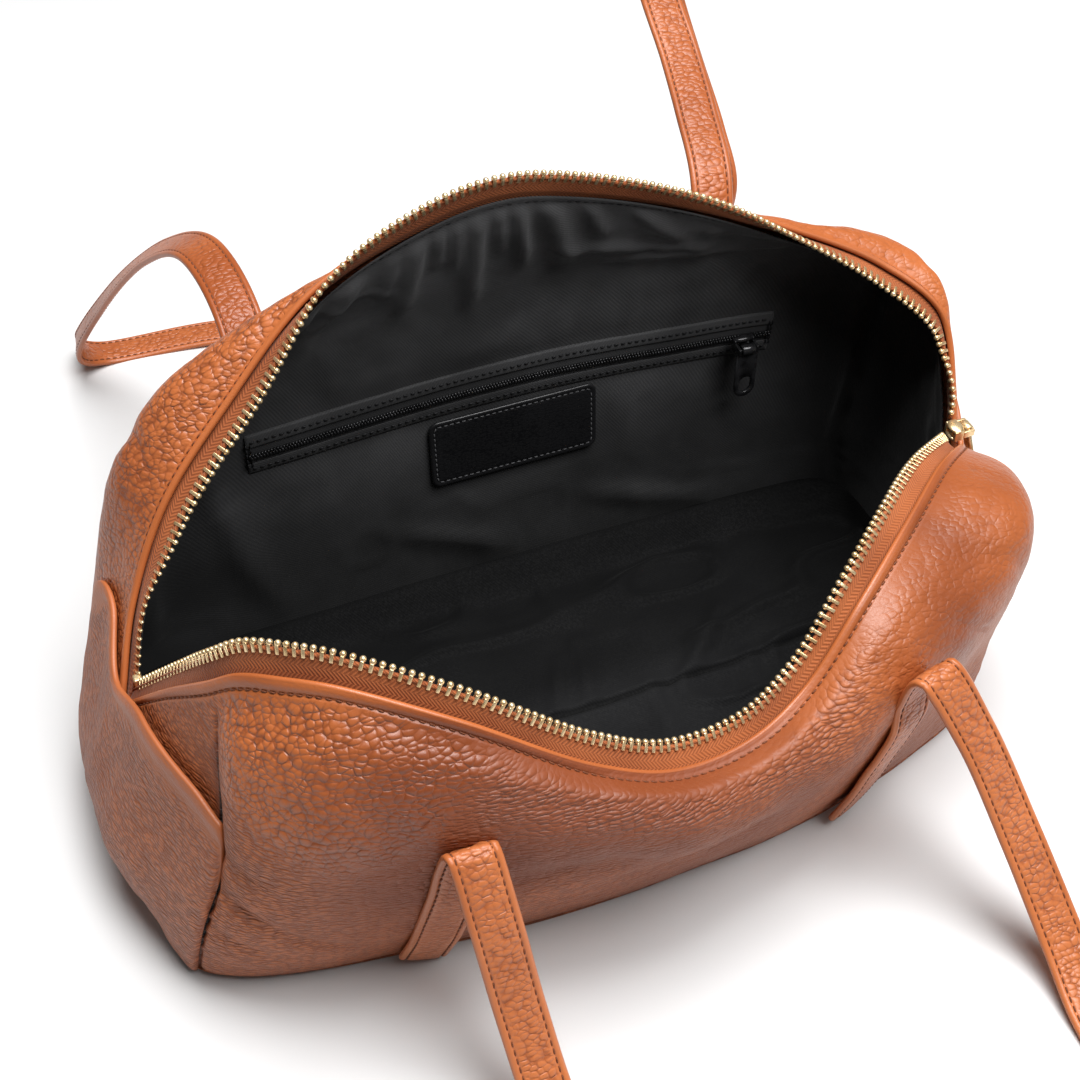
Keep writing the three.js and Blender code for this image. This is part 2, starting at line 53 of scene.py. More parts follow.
# Sizes shared with the solid model
LEATHER = 2.0
TAPE = 1.0
LINING = 1.0
GAP = 0.5
LINING_GAP = 1.0
BASE_THICKNESS = 2.4
FOOT_HEIGHT = 2.9
BASE_INSET = 1.0
SEAM_HALF_GAP = 0.25
GUSSET_CLEARANCE = 0.9
STRAP_WIDTH = 18.0
STRAP_THICKNESS = 3.2
STRAP_CLEARANCE = 1.3
BAND_FOOT = 7.0
BAND_TOP = 84.0
TAPE_BELOW_LIP = 6.0
TAPE_ABOVE_LIP = 5.0
LINING_BELOW_LIP = 1.5
LINING_FOOT = 5.2
TOOTH_PITCH = 3.1
TAPE_END = 0.35
TOOTH_MARGIN_START = 4.6
TOOTH_MARGIN_END = 1.5
LINING_FACE = LEATHER + GAP + TAPE + LINING_GAP + LINING

BAND_SECTIONS = {"front": (6.0, 11.0), "back": (3.7, 8.15)}

# Sections round the walls, left end to right end, with the outer leather at four heights
FRONT_SECTIONS = [
    # footX, footY, bellyX, bellyY, bellyZ, shoulderX, shoulderY, shoulderZ, rimX, rimY, rimZ
    [-171, 0, -182, 0, 26, -175, 0, 54, -165, 0, 75],
    [-171, -28, -181, -30, 28, -166, -32, 68, -149, -27, 108],
    [-170, -57, -169, -62, 32, -152, -62, 76, -138, -46, 129],
    [-165, -71, -160, -78, 36, -144, -77, 82, -129, -56, 140],
    [-150, -80, -146, -89, 38, -131, -91, 88, -117, -68, 146],
    [-126, -87, -123, -99, 40, -112, -103, 98, -102, -80, 148],
    [-88, -93, -84, -107, 42, -75, -114, 94, -68, -98, 136],
    [-43, -98, -40, -113, 40, -34, -124, 82, -27, -109, 107],
    [-6, -99, -5, -114, 38, -3, -126, 74, 1, -111, 93],
    [21, -98, 22, -113, 37, 25, -122, 70, 31, -106, 89],
    [49, -97, 51, -110, 37, 56, -116, 72, 55, -96, 93],
    [84, -92, 87, -102, 40, 94, -104, 86, 83, -81, 113],
    [123, -82, 124, -90, 44, 131, -88, 92, 113, -58, 119],
    [157, -66, 155, -73, 50, 166, -62, 104, 141, -34, 115],
    [170, -28, 175, -30, 40, 182, -27, 89, 165, -15, 101],
    [171, 0, 179, 0, 34, 180, 0, 60, 177, 0, 82],
]
BACK_SECTIONS = [
    # footX, footY, bellyX, bellyY, bellyZ, shoulderX, shoulderY, shoulderZ, rimX, rimY, rimZ
    [-171, 0, -182, 0, 26, -175, 0, 54, -165, 0, 75],
    [-171, 28, -180, 32, 24, -160, 32, 82, -153, 20, 100],
    [-164, 61, -167, 65, 24, -144, 58, 131, -132, 35, 130],
    [-123, 71, -127, 80, 48, -118, 70, 154, -104, 48, 155],
    [-70, 73, -69, 82, 55, -70, 79, 162, -66, 63, 185],
    [-25, 74, -25, 83, 55, -23, 84, 150, -24, 71, 199],
    [10, 74, 10, 83, 55, 10, 85, 150, 8, 73, 203],
    [45, 74, 43, 83, 55, 41, 85, 150, 38, 73, 197],
    [85, 73, 82, 82, 52, 82, 82, 150, 78, 69, 184],
    [125, 72, 127, 80, 48, 134, 77, 146, 124, 64, 162],
    [157, 68, 165, 74, 45, 172, 64, 141, 160, 50, 144],
    [168, 57, 177, 57, 44, 185, 44, 133, 181, 32, 126],
    [171, 28, 180, 30, 40, 185, 22, 92, 182, 14, 99],
    [171, 0, 179, 0, 34, 180, 0, 60, 177, 0, 82],
]

# Way of each free strap between its two bands, with the strap's width direction
FRONT_STRAP_ROUTE = [
    # x, y, z, widthX, widthY, widthZ
    [-75, -120, 97, 1, 0.02, 0],
    [-73, -133, 78, 1, 0.05, 0],
    [-70, -150, 42, 1, 0.1, 0],
    [-67, -172, 12, 1, 0.12, 0],
    [-64, -205, 3, 1, 0.15, 0],
    [-57, -290, 2.2, 1, 0.1, 0],
    [-46, -385, 3, 0.95, 0.3, 0.1],
    [-15, -455, 7, 0.7, 0.5, 0.6],
    [34, -490, 10, 0, 0.3, 0.95],
    [83, -455, 7, -0.7, 0.5, 0.6],
    [112, -385, 3, -0.95, 0.3, 0.1],
    [121, -300, 2.2, -1, 0.1, 0],
    [124, -240, 2.2, -1, 0, 0],
    [125, -206, 3.4, -1, 0, 0],
    [126, -181, 14, -1, -0.05, 0],
    [119, -152, 45, -1, -0.2, 0],
    [108, -128, 80, -1, -0.3, 0],
    [97, -113, 101, -1, -0.2, 0],
]
BACK_STRAP_ROUTE = [
    # x, y, z, widthX, widthY, widthZ
    [-87, 93, 112, 1, 0.05, 0],
    [-84, 112, 137, 0.98, 0.15, 0.1],
    [-88, 160, 141, 0.9, 0.35, 0.1],
    [-101, 205, 113, 0.75, 0.6, 0.1],
    [-122, 250, 62, 0.5, 0.8, 0.2],
    [-138, 280, 14, 0.15, 0.98, 0],
    [-128, 287, 2.2, 0, 1, 0],
    [-66, 281, 2.2, 0.1, 1, 0],
    [-8, 258, 2.4, 0.35, 1, 0],
    [52, 227, 8, 0.3, 1, 0],
    [106, 194, 36, -0.3, 0.9, 0.2],
    [138, 172, 74, -0.8, 0.55, 0.2],
    [149, 168, 105, -1, 0.1, 0],
    [149, 184, 127, -1, 0, 0],
    [146, 205, 151, -1, 0, 0],
    [141, 218, 175, -1, 0, 0],
    [136, 216, 188, -1, 0, 0],
    [131, 203, 188, -1, 0, 0],
    [127, 170, 175, -1, 0, 0],
    [122, 144, 167, -1, 0, 0],
    [115, 112, 154, -1, 0, 0],
    [107, 94, 122, -1, 0, 0],
]

# Inner pocket and label on the back lining
POCKET = {"from": 3.55, "to": 8.95, "left_height": 103, "right_height": 99, "arch": 4}
LABEL = {"section": 6.14, "height": 76.5, "width": 73, "tall": 33, "thickness": 1.4, "corner": 4}
LABEL_GAP = 0.8

# Folds pressed into the leather: where each starts and ends on its wall, how wide and deep it is
FOLDS = {
    "front": [
        # fromSection, fromUp, toSection, toUp, width, depth
        [3.1, 0.52, 4.3, 0.43, 3.4, 2.2],
        [4.2, 0.43, 5.3, 0.29, 3.2, 1.4],
        [3.1, 0.63, 4.0, 0.57, 3.0, 1.3],
        [3.2, 0.38, 4.4, 0.28, 3.2, 1.0],
        [6.3, 0.5, 7.6, 0.58, 9.0, 2.4],
        [7.4, 0.4, 9.6, 0.47, 7.0, 1.8],
        [5.0, 0.86, 5.5, 0.66, 6.0, 1.0],
        [9.2, 0.8, 9.8, 0.56, 6.0, 1.0],
        [11.6, 0.74, 12.3, 0.52, 3.0, 1.0],
        [12.2, 0.82, 12.9, 0.5, 4.0, 1.4],
    ],
    "back": [
        # fromSection, fromUp, toSection, toUp, width, depth
        [2.1, 0.85, 2.7, 0.4, 5.0, 1.6],
        [4.6, 0.8, 5.1, 0.45, 8.0, 1.6],
        [6.8, 0.5, 7.7, 0.3, 8.0, 1.6],
        [9.1, 0.8, 9.7, 0.45, 6.0, 1.8],
        [10.6, 0.75, 11.1, 0.35, 4.5, 1.6],
    ],
}

# Tuck at the front wall's left corner, from the lip down to the floor. The leather right
# of it is pushed out over it.
CORNER_TUCK = [
    # section, up, push
    [2.42, 0.95, 0.0],
    [2.48, 0.89, 3.0],
    [2.60, 0.82, 5.5],
    [2.78, 0.74, 5.5],
    [2.95, 0.64, 5.0],
    [3.00, 0.46, 3.6],
    [3.02, 0.20, 2.4],
    [3.02, 0.00, 2.2],
]


# Curves and walls

def row_lengths(vectors):
    return np.linalg.norm(vectors, axis=-1, keepdims=True)


def unit(vectors):
    return vectors / np.maximum(row_lengths(vectors), 1e-12)


def ease(value, low, high):
    """Smooth rise from 0 at low to 1 at high."""
    t = np.clip((value - low) / (high - low), 0, 1)
    return t * t * (3 - 2 * t)


def hump(value, middle, width):
    """Round rise to 1 at the middle that fades to both sides over about its width."""
    return np.exp(-(((value - middle) / width) ** 2))


def flat_pairs(along, across):
    """Flat coordinates of a grid from lengths along it and heights across it."""
    return np.stack(np.broadcast_arrays(along[:, None], across), axis=-1)


def smooth_step(p1, p2, m1, m2, t):
    """Point between p1 and p2 on the curve that has the slopes m1 and m2 there."""
    return p1 + m1 * t + (3 * (p2 - p1) - 2 * m1 - m2) * t**2 + (2 * (p1 - p2) + m1 + m2) * t**3


def spline(points, place):
    """Centripetal Catmull-Rom curve through points at places counted in points.

    points is (n, 3), or (n, m, 3) where each place has a curve of its own.
    """
    place = np.asarray(place, float)
    many = points if points.ndim == 3 else points[:, None, :]
    column = np.arange(len(place)) if points.ndim == 3 else np.zeros(len(place), int)
    ends = np.concatenate([2 * many[:1] - many[1:2], many, 2 * many[-1:] - many[-2:-1]])
    first = np.clip(np.floor(place).astype(int), 0, len(many) - 2)
    t = (place - first)[:, None]
    p0, p1, p2, p3 = (ends[first + k, column] for k in range(4))
    spans = ((p0, p1), (p1, p2), (p2, p3))
    d0, d1, d2 = (np.sqrt(np.maximum(row_lengths(b - a), 1e-9)) for a, b in spans)
    m1 = ((p1 - p0) / d0 - (p2 - p0) / (d0 + d1) + (p2 - p1) / d1) * d1
    m2 = ((p2 - p1) / d1 - (p3 - p1) / (d1 + d2) + (p3 - p2) / d2) * d1
    return smooth_step(p1, p2, m1, m2, t)


def even_spline(points, place):
    """Plain Catmull-Rom curve through points (n, 3) at places counted in points."""
    ends = np.concatenate([2 * points[:1] - points[1:2], points, 2 * points[-1:] - points[-2:-1]])
    first = np.clip(np.floor(place).astype(int), 0, len(points) - 2)
    t = (place - first)[:, None]
    p0, p1, p2, p3 = (ends[first + k] for k in range(4))
    m1 = (p2 - p0) / 2
    m2 = (p3 - p1) / 2
    return smooth_step(p1, p2, m1, m2, t)


class Wall:
    """Four smooth curves round the bag, joined at any section by a smooth profile."""

    def __init__(self, rows, side):
        table = np.array(rows, float)
        x = table[:, [0, 2, 5, 8]]
        y = table[:, [1, 3, 6, 9]]
        z = np.column_stack([np.full(len(table), FOOT_HEIGHT), table[:, [4, 7, 10]]])
        y[y == 0] = side * SEAM_HALF_GAP
        self.lines = np.stack([x, y, z], axis=2)
        self.side = side
        self.last = len(rows) - 1

    def skin(self, section, up):
        points = np.stack([spline(self.lines[:, k], section) for k in range(4)])
        return spline(points, np.asarray(up) * 3)

    def frame(self, section, up):
        """Outer leather, its outward direction and its upward direction."""
        step = 0.02
        before = np.maximum(section - step, 0)
        after = np.minimum(section + step, self.last)
        inside = np.minimum(up, 1)
        low = np.maximum(inside - step, 0)
        high = np.minimum(inside + step, 1)
        along = self.skin(after, inside) - self.skin(before, inside)
        rise = self.skin(section, high) - self.skin(section, low)
        normal = np.cross(along, rise) * -self.side
        normal[(section <= 0) | (section >= self.last), 1] = 0
        return self.skin(section, up), unit(normal), unit(rise)

    def point(self, section, up, depth):
        skin, normal, _ = self.frame(section, up)
        return skin - normal * np.reshape(depth, (-1, 1))

    def above(self, section, rise, depth):
        """Point above the lip, following the way the leather points there."""
        top = np.ones_like(section)
        direction = unit(self.skin(section, top) - self.skin(section, 0.9 * top))
        return self.point(section, top, depth) + direction * np.reshape(rise, (-1, 1))

    def length(self, section):
        steps = np.linspace(0, 1, 60)
        total = np.zeros(len(section))
        for low, high in zip(steps[:-1], steps[1:]):
            ones = np.ones(len(section))
            total += row_lengths(self.skin(section, high * ones) - self.skin(section, low * ones))[:, 0]
        return total

    def up_below_lip(self, section, length):
        return 1 - length / self.length(section)

    def up_at(self, section, height, most=1.0):
        """Profile place at a height; a place over 1 runs on above the lip."""
        low = np.zeros(len(section))
        high = np.full(len(section), most)
        for _ in range(24):
            middle = (low + high) / 2
            under = self.skin(section, middle)[:, 2] < height
            low = np.where(under, middle, low)
            high = np.where(under, high, middle)
        return (low + high) / 2


WALLS = {"front": Wall(FRONT_SECTIONS, -1), "back": Wall(BACK_SECTIONS, 1)}


def soft_noise(points, cell, seed):
    """Smooth noise from -1 to 1 that changes over about one cell."""
    size = 32
    table = np.random.default_rng(seed).uniform(-1, 1, (size, size, size))
    place = points / cell + 1000.0
    corner = np.floor(place).astype(int)
    t = place - corner
    t = t * t * (3 - 2 * t)
    total = np.zeros(place.shape[:-1])
    for dx in (0, 1):
        for dy in (0, 1):
            for dz in (0, 1):
                ids = (corner + (dx, dy, dz)) % size
                share = np.prod(np.where(np.array((dx, dy, dz)) == 1, t, 1 - t), axis=-1)
                total += share * table[ids[..., 0], ids[..., 1], ids[..., 2]]
    return total


def arc_lengths(line):
    steps = row_lengths(np.diff(line, axis=0))[:, 0]
    return np.concatenate([[0], np.cumsum(steps)])


def along_line(line, wanted, *others):
    """Line, and arrays that go with it, at the wanted lengths along it."""
    lengths = arc_lengths(line)

    def pick(values):
        return np.stack([np.interp(wanted, lengths, values[:, k]) for k in range(3)], axis=1)

    return [pick(values) for values in (line, *others)]


# Meshes

def piece(name, points, faces, material, slot, nodes=(), body="bag", uv=None, closed=True, **values):
    """A smooth mesh piece from points in millimetres, riding on a body."""
    mesh = bpy.data.meshes.new(name)
    mesh.from_pydata((np.asarray(points, float) * MM).tolist(), [], faces)
    mesh.polygons.foreach_set("use_smooth", [True] * len(mesh.polygons))
    corners = np.empty(len(mesh.loops), int)
    mesh.loops.foreach_get("vertex_index", corners)
    if uv is not None:
        layer = mesh.uv_layers.new(name="flat")
        layer.data.foreach_set("uv", (np.asarray(uv) * MM)[corners].ravel())
    for key, value in values.items():
        layer = mesh.attributes.new(key, "FLOAT", "POINT")
        layer.data.foreach_set("value", np.asarray(value, float).ravel())
    if closed:
        work = bmesh.new()
        work.from_mesh(mesh)
        bmesh.ops.recalc_face_normals(work, faces=work.faces)
        work.to_mesh(mesh)
        work.free()
    mesh.materials.append(material)
    obj = bpy.data.objects.new(name, mesh)
    bpy.context.scene.collection.objects.link(obj)
    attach(obj, body)
    if nodes:
        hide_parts(*nodes)
    return obj


def grid_faces(columns, rows):
    i, j = np.meshgrid(np.arange(columns - 1), np.arange(rows - 1), indexing="ij")
    a = i * rows + j
    return np.stack([a, a + rows, a + rows + 1, a + 1], axis=-1).reshape(-1, 4).tolist()


def loop_faces(columns, ring):
    """Faces of a row of closed loops, with both ends closed by strips across the loop."""
    i, j = np.meshgrid(np.arange(columns - 1), np.arange(ring), indexing="ij")
    a = i * ring + j
    b = i * ring + (j + 1) % ring
    faces = np.stack([a, a + ring, b + ring, b], axis=-1).reshape(-1, 4).tolist()
    for start in (0, (columns - 1) * ring):
        faces += [
            [start + k, start + k + 1, start + ring - 2 - k, start + ring - 1 - k]
            for k in range(ring // 2 - 1)
        ]
    return faces


def loop_piece(name, loops, material, slot, nodes=(), uv=None, **values):
    """A closed piece from a row of loops of points."""
    columns, ring = loops.shape[:2]
    flat = None if uv is None else uv.reshape(-1, 2)
    return piece(
        name, loops.reshape(-1, 3), loop_faces(columns, ring), material, slot, nodes, uv=flat, **values,
    )


def ring_faces(rings, count, start=0, wrap=False):
    """Faces between neighbouring rings of points; with wrap the last ring meets the first."""
    faces = []
    for i in range(rings if wrap else rings - 1):
        j = (i + 1) % rings
        for k in range(count):
            n = (k + 1) % count
            corners = ((i, k), (i, n), (j, n), (j, k))
            faces.append([start + ring * count + point for ring, point in corners])
    return faces


def from_least(corners):
    """Corners of a face, in the same turn, starting with the least, so that every run gives one order."""
    first = corners.index(min(corners))
    return corners[first:] + corners[:first]


def template(build):
    """Points and faces of a small shape that a function builds in a bmesh."""
    work = bmesh.new()
    build(work)
    bmesh.ops.recalc_face_normals(work, faces=work.faces)
    work.verts.ensure_lookup_table()
    points = np.array([v.co[:] for v in work.verts])
    faces = [from_least([v.index for v in f.verts]) for f in work.faces]
    work.free()
    return points, sorted(faces)


def block(work, centre, size, round_by, segments=2):
    """A box with rounded edges."""
    made = bmesh.ops.create_cube(work, size=1)["verts"]
    bmesh.ops.scale(work, vec=size, verts=made)
    bmesh.ops.translate(work, vec=centre, verts=made)
    edges = list(dict.fromkeys(edge for v in made for edge in v.link_edges))
    bmesh.ops.bevel(work, geom=edges, offset=round_by, segments=segments, affect="EDGES", profile=0.6)


def ball(work, centre, size, across, rings):
    """A round or oval ball."""
    made = bmesh.ops.create_uvsphere(work, u_segments=across, v_segments=rings, radius=0.5)["verts"]
    bmesh.ops.scale(work, vec=size, verts=made)
    bmesh.ops.translate(work, vec=centre, verts=made)


def rod(work, start, end, radius, sides=16):
    """A round rod between two points."""
    axis = np.subtract(end, start)
    span = float(np.linalg.norm(axis))
    turn = Vector((0, 0, 1)).rotation_difference(Vector(axis)).to_matrix().to_4x4()
    place = Matrix.Translation(Vector((np.add(start, end) / 2).tolist())) @ turn
    bmesh.ops.create_cone(
        work, cap_ends=True, segments=sides, radius1=radius, radius2=radius, depth=span, matrix=place,
    )


def repeated(shape, centres, x_axes, y_axes, z_axes):
    """Many copies of a small shape, each in its own axes."""
    points, faces = shape
    placed = (
        centres[:, None]
        + points[None, :, 0:1] * x_axes[:, None]
        + points[None, :, 1:2] * y_axes[:, None]
        + points[None, :, 2:3] * z_axes[:, None]
    )
    count = len(points)
    all_faces = [[n * count + v for v in face] for n in range(len(centres)) for face in faces]
    return placed.reshape(-1, 3), all_faces


STITCH_SIDES = 6
STITCH_STATIONS = [
    # along, radius, bow
    (0.0, 0.45, -1.3),
    (0.1, 0.85, -0.35),
    (0.3, 1.0, 0.15),
    (0.7, 1.0, 0.15),
    (0.9, 0.85, -0.35),
    (1.0, 0.45, -1.3),
]
SEAMS = {
    # pitch, stitch length, slant, thread radius
    "lip": (3.3, 2.4, 0.35, 0.34),
    "strap": (3.4, 2.5, 0.25, 0.34),
    "lining": (3.4, 2.5, 0.0, 0.3),
    "pocket": (3.0, 2.2, 0.0, 0.4),
    "pocket_end": (2.4, 2.1, 0.0, 0.4),
    "label": (2.6, 1.9, 0.0, 0.28),
}


def thread_shape():
    """One stitch along X, from 0 to 1, as a bowed spindle of unit radius."""
    angles = np.arange(STITCH_SIDES) * 2 * np.pi / STITCH_SIDES
    points = [
        (x, radius * math.cos(angle), bow + radius * math.sin(angle))
        for x, radius, bow in STITCH_STATIONS
        for angle in angles
    ]
    last = (len(STITCH_STATIONS) - 1) * STITCH_SIDES
    faces = ring_faces(len(STITCH_STATIONS), STITCH_SIDES)
    faces.append(list(range(STITCH_SIDES)))
    faces.append([last + k for k in reversed(range(STITCH_SIDES))])
    return np.array(points), faces


def stitch_row(line, outward, seam):
    """Starts, ends and outward directions of the stitches along a line."""
    pitch, length, slant, _ = SEAMS[seam]
    total = arc_lengths(line)[-1]
    starts = np.arange(pitch / 2, total - length, pitch)
    begin, out = along_line(line, starts, outward)
    end = along_line(line, starts + length)[0]
    across = unit(np.cross(end - begin, out))
    return begin - across * slant / 2, end + across * slant / 2, unit(out)


def stitch_piece(name, rows, seam, material, slot):
    """One piece of all the stitches in some rows."""
    begin, end, out = (np.concatenate(column) for column in zip(*rows))
    radius = SEAMS[seam][3]
    along = end - begin
    across = unit(np.cross(out, along)) * radius
    up = unit(np.cross(along, across)) * radius
    points, faces = repeated(thread_shape(), begin, along, across, up)
    piece(name, points, faces, material, slot, closed=False)


# Materials

WRINKLE_SHARE = 1.2
# Near-black of the painted shade in the crease of the tuck
CREASE_SHADE_BLACK = (0.012, 0.004, 0.002, 1)
SHADE_BLACK = (0.002, 0.002, 0.002, 1)


class Shader:
    """A node material built by short calls."""

    def __init__(self, name, **constants):
        self.material = bpy.data.materials.new(name)
        self.material.use_nodes = True
        self.tree = self.material.node_tree
        self.surface = self.tree.nodes["Principled BSDF"]
        for socket, value in constants.items():
            self.surface.inputs[socket.replace("_", " ")].default_value = value

    def node(self, kind, inputs=(), output=0, **settings):
        made = self.tree.nodes.new("ShaderNode" + kind)
        for key, value in settings.items():
            setattr(made, key, value)
        for key, value in dict(inputs).items():
            self.put(made.inputs[key], value)
        return made.outputs[output]

    def put(self, socket, value):
        if isinstance(value, bpy.types.NodeSocket):
            self.tree.links.new(value, socket)
        else:
            socket.default_value = value

    def set(self, name, value):
        self.put(self.surface.inputs[name], value)

    def math(self, operation, first, second=0.0, third=0.0):
        return self.node("Math", {0: first, 1: second, 2: third}, operation=operation)

    def remap(self, value, low, high, to_low=0.0, to_high=1.0):
        inputs = {"Value": value, "From Min": low, "From Max": high, "To Min": to_low, "To Max": to_high}
        return self.node("MapRange", inputs, interpolation_type="SMOOTHSTEP")

    def blend(self, share, first, second):
        made = self.tree.nodes.new("ShaderNodeMix")
        made.data_type = "RGBA"
        self.put(made.inputs["Factor"], share)
        self.put(made.inputs[6], first)
        self.put(made.inputs[7], second)
        return made.outputs[2]

    def noise(self, place, scale, detail, output=0):
        return self.node("TexNoise", {"Vector": place, "Scale": scale, "Detail": detail}, output)

    def bump(self, height, strength, distance):
        return self.node("Bump", {"Height": height, "Strength": strength, "Distance": distance})

    def value(self, name):
        """A value stored on the mesh."""
        return self.node("Attribute", attribute_name=name, output=2)

    def object_place(self):
        return self.node("TexCoord", output=3)

    def flat_place(self):
        return self.node("TexCoord", output=2)


def leather_material(name, hill, valley, deep, cell, depth, roughness, gloss):
    """Pebbled leather: domed cells with narrow creases, or fine level wrinkles.

    The grain value of a mesh says how strong its relief is: 0 at turned edges, 1 on open leather.
    Its fine value says how far the wrinkles take the place of the pebbles.
    A value on the mesh paints shade: added to random wear it darkens the leather towards deep up to 1, and
    from 1.5 on it blackens it, painted shade in the closed slit of the tuck.
    """
    shader = Shader(name, Specular_IOR_Level=gloss)
    place = shader.object_place()
    drift = shader.noise(place, 0.4 / cell, 1.0, output=1)
    centred = shader.node("VectorMath", {0: drift, 1: (0.5, 0.5, 0.5)}, operation="SUBTRACT")
    fade = shader.remap(shader.noise(place, 0.5 / cell, 2.0), 0.38, 0.62, 0.25, 1.0)

    def creases(squeeze, scale, drift_by, width, dome):
        """Depth below the tops of domed cells: 0 in their middle, most along the creases."""
        wander = (drift_by, drift_by, drift_by)
        moved = shader.node("VectorMath", {0: centred, 1: wander, 2: place}, operation="MULTIPLY_ADD")
        squeezed = shader.node("VectorMath", {0: moved, 1: squeeze}, operation="MULTIPLY")
        cells = {"Vector": squeezed, "Scale": scale, "Randomness": 0.8}
        near = shader.node("TexVoronoi", cells, "Distance", feature="F1")
        second = shader.node("TexVoronoi", cells, "Distance", feature="F2")
        gap = shader.math("SUBTRACT", second, near)
        sharp = shader.math("POWER", shader.remap(gap, 0.0, width, 1.0, 0.0), 2.0)
        narrow = shader.math("MULTIPLY", sharp, fade)
        slope = shader.math("MULTIPLY", shader.math("POWER", near, 2.0), dome)
        return shader.math("MULTIPLY_ADD", narrow, 0.5, slope)

    pebble = creases((0.8, 1.2, 1.2), 1.0 / cell, 0.9 * cell, 0.5, 1.5)
    wrinkle = creases((0.5, 0.5, 1.6), 1.45 / cell, 0.6 * cell, 0.7, 1.5)
    pores = shader.noise(place, 5.0 / cell, 3.0)
    grain = shader.value("grain")
    fine = shader.value("fine")
    less = shader.math("MULTIPLY_ADD", wrinkle, WRINKLE_SHARE, shader.math("MULTIPLY", pebble, -1.0))
    sunk = shader.math("MULTIPLY_ADD", less, fine, pebble)
    lowered = shader.math("MULTIPLY", sunk, shader.math("MULTIPLY", grain, -1.0))
    height = shader.math("MULTIPLY_ADD", pores, 0.1, lowered)
    shader.set("Normal", shader.bump(height, 1.0, depth))
    between = shader.math("MULTIPLY_ADD", shader.math("SUBTRACT", wrinkle, pebble), fine, pebble)
    stain = shader.math("MULTIPLY", grain, shader.remap(fine, 0.0, 1.0, 0.8, 1.45))
    crease = shader.remap(shader.math("MULTIPLY", between, stain), 0.2, 0.95, 0.0, 0.75)
    base = shader.blend(crease, hill, valley)
    worn = shader.remap(shader.noise(place, 0.04 / cell, 4.0), 0.40, 0.72, 0.0, 0.5)
    # Random wear noise plus the painted shade stored on the mesh darken the leather towards deep
    tone = shader.math("ADD", worn, shader.value("tone"))
    worn_and_shaded = shader.blend(shader.math("MINIMUM", tone, 1.0), base, deep)
    # Past 1.5 the painted shade turns near-black: painted shade in the tuck's crease
    crease_shade = shader.remap(tone, 1.5, 2.2, 0.0, 1.0)
    shader.set("Base Color", shader.blend(crease_shade, worn_and_shaded, CREASE_SHADE_BLACK))
    softer = shader.math("MULTIPLY", fine, 0.14)
    matt = shader.remap(pores, 0.3, 0.7, roughness - 0.05, roughness + 0.08)
    shader.set("Roughness", shader.math("ADD", softer, matt))
    return shader.material


def cloth_material(name, base, light, pitch, roughness, chevron=0.0, sheen=0.1, ribs=0.18):
    """Twill cloth in flat coordinates; with a chevron width its ribs turn back and forth.

    A value on the mesh paints shade: it darkens the cloth towards black where shade falls.
    """
    shader = Shader(name, Sheen_Weight=sheen, Sheen_Roughness=0.5, Specular_IOR_Level=2.5 * sheen)
    flat = shader.flat_place()
    if chevron:
        parts = shader.tree.nodes.new("ShaderNodeSeparateXYZ")
        shader.put(parts.inputs[0], flat)
        fold = shader.math("PINGPONG", parts.outputs[1], chevron)
        flat = shader.node("CombineXYZ", {0: parts.outputs[0], 1: fold})
    scale = 2 * math.pi / (10 * pitch * math.sqrt(2))
    wave = {"Vector": flat, "Scale": scale, "Distortion": 0.6, "Detail": 2.0, "Detail Scale": 1.0}
    rib = shader.node("TexWave", wave, output=1, wave_type="BANDS", bands_direction="DIAGONAL")
    fuzz = shader.noise(shader.object_place(), 900.0, 3.0)
    cloud = shader.noise(shader.object_place(), 30.0, 3.0)
    height = shader.math("MULTIPLY_ADD", fuzz, 0.5, rib)
    shader.set("Normal", shader.bump(height, ribs, 0.3 * pitch))
    shade = shader.math("MULTIPLY_ADD", rib, ribs, shader.remap(cloud, 0.3, 0.7, 0.15, 0.6))
    # Painted shade: the cloth is blended towards black by the value on the mesh
    tone = shader.value("tone")
    woven = shader.blend(shade, base, light)
    shader.set("Base Color", shader.blend(tone, woven, SHADE_BLACK))
    shader.set("Roughness", shader.remap(fuzz, 0.3, 0.7, roughness - 0.08, roughness + 0.08))
    return shader.material


def metal_material(name, bright, dull, roughness, metallic):
    """Polished metal with faint cloudy tarnish and fine scuffs."""
    shader = Shader(name, Metallic=metallic)
    place = shader.object_place()
    cloud = shader.noise(place, 260.0, 4.0)
    scuff = shader.noise(place, 2600.0, 3.0)
    shader.set("Base Color", shader.blend(shader.remap(cloud, 0.35, 0.7), bright, dull))
    shader.set("Roughness", shader.remap(scuff, 0.3, 0.75, roughness - 0.06, roughness + 0.12))
    shader.set("Normal", shader.bump(scuff, 0.12, 0.0001))
    return shader.material


def thread_material(name, base, light):
    """Twisted sewing thread."""
    shader = Shader(name, Sheen_Weight=0.05, Specular_IOR_Level=0.3)
    place = shader.object_place()
    strand = shader.noise(place, 2400.0, 2.0)
    shader.set("Base Color", shader.blend(shader.remap(strand, 0.3, 0.7), base, light))
    shader.set("Roughness", shader.remap(strand, 0.3, 0.7, 0.5, 0.7))
    shader.set("Normal", shader.bump(strand, 0.5, 0.0002))
    return shader.material


